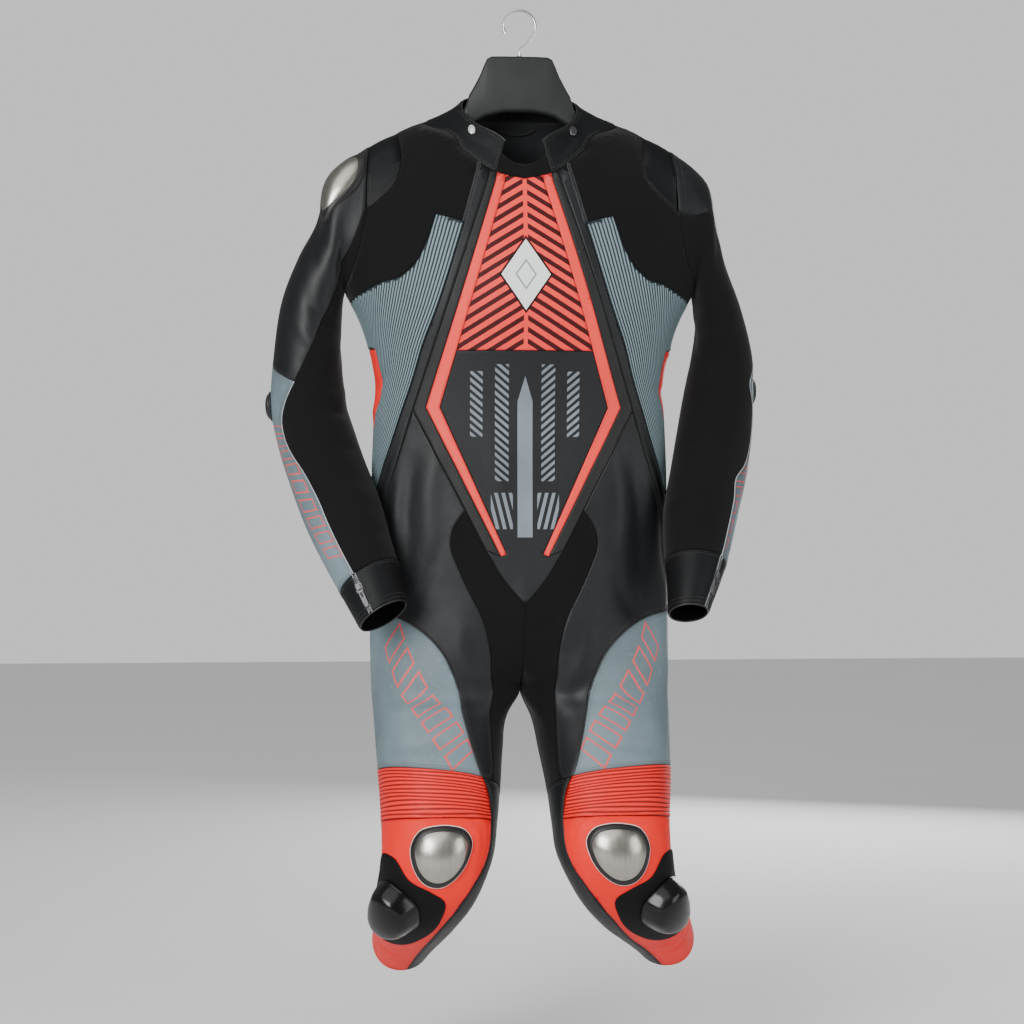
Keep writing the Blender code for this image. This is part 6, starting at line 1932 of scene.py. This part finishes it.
finished(stacked("hanger_moulding", hanger_rings(), HANGER_PLASTIC, 50), "hanger_plastic",
         "hanger_body")
wire = hook_path()
turns = np.linspace(0, 2 * math.pi, 24, endpoint=False)
ferrule = columns(np.cos(turns) * 3.0, np.sin(turns) * 3.0, np.full(24, -66.4)) * MM
finished(joined("hook_wire", [
    swept("wire", wire, np.tile((0.0, -1.0, 0.0), (len(wire), 1)), WIRE_RADIUS, HOOK_METAL, 16),
    swept("ferrule", ferrule, np.tile((0.0, 0.0, 1.0), (24, 1)), 0.9 * MM, HOOK_METAL, 8, True),
]), "hook_steel", "hanger_hook")

# ---------------------------------------------------------------- piping, bindings and zips

CORD_LIFT = 0.1 * MM
WALL_MIDDLE = -1.75 * MM        # from the surface to the middle of a panel's raw edge
BINDING = 1.45 * MM
TAPES = (("inner", -MM), ("outer", MM))


def beside(surface, at, offset=0.0, lift=0.0, creases=()):
    """Places and outward directions along a line on a surface, moved sideways and raised."""
    at = at[:, :2]
    place, out = surface.point(*at.T), surface.normal(*at.T)
    if offset:
        across = unit(np.cross(np.gradient(place, axis=0), out))
        at = surface.shift(at, across * offset)
        place, out = surface.point(*at.T), surface.normal(*at.T)
    return place + out * (lift + fold_heights(place, creases))[:, None], out


def piping(name, surface, at, radius, finish, slot, offset=0.0, lift=CORD_LIFT, closed=False):
    place, out = beside(surface, at, offset, lift, creases_on(surface))
    finished(swept(name, place, out, radius, finish, closed=closed), slot)


def creases_on(surface):
    if surface is COLLAR_BAND:
        return ()
    return BOTH["sleeve" if isinstance(surface, Sleeve) else "body"]


def finer(rows, count):
    """A line of parameters with evenly numbered points."""
    return curve(np.linspace(0.0, 1.0, len(rows)), rows, np.linspace(0.0, 1.0, count), straight)


for side in SIDES:
    half, sleeve, seams = HALF[side], SLEEVE[side], SEAMS[side]
    (cuff, slit), last = CUFFS[side], sleeve.last
    slit /= 90.0
    piping("thigh_piping_" + side, half, finer(seams["thigh_front"], 90), 1.15 * MM, PIPING,
           "black_leather")
    for label, way in TAPES:
        piping("neck_zip_tape_%s_%s" % (label, side), half, finer(seams["zip_upper"], 40),
               0.55 * MM, TAPE_EDGE, "black_leather", 2.3 * way)
    front = sleeve_rows(sleeve, *SLEEVE_SEAMS[side]["forearm_front"])
    piping("forearm_piping_" + side, sleeve, finer(front, 120), 0.75 * MM, PALE_PIPING,
           "grey_blue_leather")
    down_cuff = np.linspace((slit, cuff), (slit, last), 30)
    for label, way in TAPES:
        piping("cuff_zip_tape_%s_%s" % (label, side), sleeve, down_cuff, 0.5 * MM, PALE_PIPING,
               "grey_blue_leather", 2.6 * way)
    round_cuff = np.linspace((slit, last), (slit + 4.0, last), 72, endpoint=False)
    piping("cuff_binding_" + side, sleeve, round_cuff, BINDING, PIPING, "black_leather",
           lift=WALL_MIDDLE, closed=True)
    piping("shin_binding_front_" + side, half,
           np.linspace(CORNERS["shin"], CORNERS["hem"], 40), BINDING, CORAL, "coral_leather",
           lift=WALL_MIDDLE)
    piping("shin_binding_back_" + side, half,
           np.linspace(CORNERS["hem"], CORNERS["shin_round"], 50), BINDING, PIPING,
           "black_leather", lift=WALL_MIDDLE)
piping("collar_binding", COLLAR_BAND, np.linspace((THROAT, 1.0), (360 - THROAT, 1.0), 140),
       1.5 * MM, PIPING, "black_leather", lift=WALL_MIDDLE)

# The loop that the suit hangs by, sewn inside below the collar.
LOOP_SPAN, LOOP_TOP, LOOP_SAG = 0.13, 0.164, 0.009
share = np.linspace(-1.0, 1.0, 31)
slack = 1.0 - share ** 2
place, out = beside(BACK, columns(2.0 + LOOP_SPAN * share, LOOP_TOP + LOOP_SAG * slack),
                    creases=BOTH["body"])
place -= out * (THICK + (0.9 + 1.8 * slack[:, None]) * MM)
finished(swept("hanging_loop", place, out, 1.3 * MM, CHARCOAL, 10), "black_leather")

# ---------------------------------------------------------------- stitches and zip teeth

STITCH = small_shape("stitch_shape", ((-1.25, 0.16, 0.12, 0.10), (-0.7, 0.30, 0.26, 0.16),
                                      (0.7, 0.30, 0.26, 0.16), (1.25, 0.16, 0.12, 0.10)), 5)
TOOTH = small_shape("tooth_shape", ((-0.55, 1.15, 0.45, 0.5), (-0.40, 1.25, 0.60, 0.5),
                                    (0.40, 1.25, 0.60, 0.5), (0.55, 1.15, 0.45, 0.5)), 8)
STITCH_PITCH, TOOTH_PITCH = 3.4 * MM, 2.3 * MM
STITCH_LIFT = 0.06 * MM
STITCH_ROWS = (2.4, 5.4)        # distances of the two rows from a seam


def stitch_lines(cloth, distance):
    """Runs of (places, outward directions) along a piece's edge, at a distance inside it."""
    at = cloth.surface.shift(cloth.loop[:, :2], cloth.into * distance)
    keep = well_inside(cloth.surface.flat(at), cloth.flat, distance * 0.8)
    place, out = cloth.surface.point(*at.T), cloth.surface.normal(*at.T)
    rise = edge_height(np.full(len(at), distance)) + fold_heights(place, cloth.creases)
    place = place + out * (rise + STITCH_LIFT)[:, None]
    place, out, keep = (np.concatenate([part, part[:1]]) for part in (place, out, keep))
    near = size(np.diff(place, axis=0)) < 2.0 * STEP
    return [(place[first:last + 1], out[first:last + 1])
            for first, last in runs(keep[:-1] & keep[1:] & near) if last - first > 1]


def stitched(name, finish, slot, names, rows=STITCH_ROWS):
    """Rows of stitches round pieces; a name with no side stands for both sides' pieces."""
    clothes = [CLOTHS[key] for piece in names.split() for key in (piece, piece + "_r", piece + "_l")
               if key in CLOTHS]
    lines = [line for cloth in clothes for row in rows for line in stitch_lines(cloth, row * MM)]
    rows_of("stitches_" + name, lines, STITCH, STITCH_PITCH, finish, slot)


stitched("trunk", THREAD_BLACK, "black_leather", "back seat hip shoulder")
stitched("legs", THREAD_BLACK, "black_leather", "leg_back")
stitched("borders", THREAD_BLACK, "black_leather", "border zip_strip")
stitched("sleeves", THREAD_BLACK, "black_leather", "collar upper_sleeve cuff")
stitched("grey", THREAD_GREY, "grey_blue_leather", "thigh forearm")
stitched("coral", THREAD_CORAL, "coral_leather", "knee side")
stitched("bands", THREAD_CORAL, "coral_leather", "band", (2.2,))


def teeth(name, surface, line, finish):
    """Two rows of teeth beside a line, the second started half a pitch further on."""
    lines = []
    for offset, skip in ((0.75 * MM, 0.0), (-0.75 * MM, TOOTH_PITCH / 2)):
        place, out = beside(surface, line, offset, -0.1 * MM, creases_on(surface))
        place[0] += unit(place[1] - place[0]) * skip
        lines.append((place, out))
    rows_of(name, lines, TOOTH, TOOTH_PITCH, finish, "dark_zip_metal", 1.05)


for side in SIDES:
    (cuff, slit), last = CUFFS[side], SLEEVE[side].last
    down_cuff = np.linspace((slit / 90.0, cuff + 0.05), (slit / 90.0, last - 0.06), 30)
    teeth("cuff_zip_teeth_" + side, SLEEVE[side], down_cuff, ZIP_METAL)
    teeth("neck_zip_teeth_" + side, HALF[side], finer(SEAMS[side]["zip_upper"], 40), BLACKENED)
for helper in (STITCH, TOOTH):
    bpy.data.objects.remove(helper, do_unlink=True)

# ---------------------------------------------------------------- floor, light and camera

CAMERA_PLACE, CAMERA_TURN = (-0.2901, -3.1868, -0.75), math.radians(-5.0)
FOCAL, SENSOR = 75.0, 36.0
FLOOR_DROP = 0.16
ROOM_LIGHT, BACKDROP_LIGHT = 0.26, 0.80


def floor():
    mesh = bpy.data.meshes.new("floor")
    z = CAD_BOX[0][2] - FLOOR_DROP
    mesh.from_pydata([(-9, -9, z), (9, -9, z), (9, 9, z), (-9, 9, z)], [], [(0, 1, 2, 3)])
    pale = Finish("pale floor", (0.86, 0.86, 0.86), 0.85)
    pale.paint(pale.mix(pale.noise(2.0), (0.84, 0.84, 0.84), (0.88, 0.88, 0.88)))
    mesh.materials.append(pale.material)
    linked("floor", mesh)


def lamp(name, place, aim, width, height, power):
    light = bpy.data.lights.new(name, "AREA")
    light.shape = "RECTANGLE"
    light.size, light.size_y, light.energy = width, height, power
    made = linked(name, light)
    made.location = place
    made.rotation_euler = (Vector(aim) - Vector(place)).to_track_quat("-Z", "Y").to_euler()


def studio():
    world = bpy.data.worlds.new("studio")
    bpy.context.scene.world = world
    world.use_nodes = True
    nodes, links = world.node_tree.nodes, world.node_tree.links
    room, backdrop = nodes["Background"], nodes.new("ShaderNodeBackground")
    for light, strength in ((room, ROOM_LIGHT), (backdrop, BACKDROP_LIGHT)):
        light.inputs["Color"].default_value = (1.0, 1.0, 1.0, 1.0)
        light.inputs["Strength"].default_value = strength
    seen, choice = nodes.new("ShaderNodeLightPath"), nodes.new("ShaderNodeMixShader")
    links.new(seen.outputs["Is Camera Ray"], choice.inputs[0])
    links.new(room.outputs[0], choice.inputs[1])
    links.new(backdrop.outputs[0], choice.inputs[2])
    links.new(choice.outputs[0], nodes["World Output"].inputs["Surface"])
    middle = (0.0, 0.0, -0.72)
    lamp("key light", (-1.7, -2.8, 0.3), middle, 1.4, 1.6, 120.0)
    lamp("fill light", (2.4, -2.2, -0.2), middle, 1.4, 2.0, 36.0)
    lamp("rim light", (1.2, 2.8, -0.3), middle, 1.8, 1.8, 52.0)
    soft = bpy.data.lights.new("overhead light", "SUN")
    soft.energy, soft.angle = 1.05, math.radians(50)
    sun = linked("overhead light", soft)
    sun.rotation_euler = Vector((-0.30, -0.62, 1.0)).to_track_quat("Z", "Y").to_euler()


def camera():
    lens = bpy.data.cameras.new("camera")
    lens.lens, lens.sensor_width, lens.sensor_fit = FOCAL, SENSOR, "HORIZONTAL"
    made = linked("camera", lens)
    made.location = CAMERA_PLACE
    made.rotation_euler = (math.pi / 2, 0.0, CAMERA_TURN)
    bpy.context.scene.camera = made


floor()
studio()
camera()
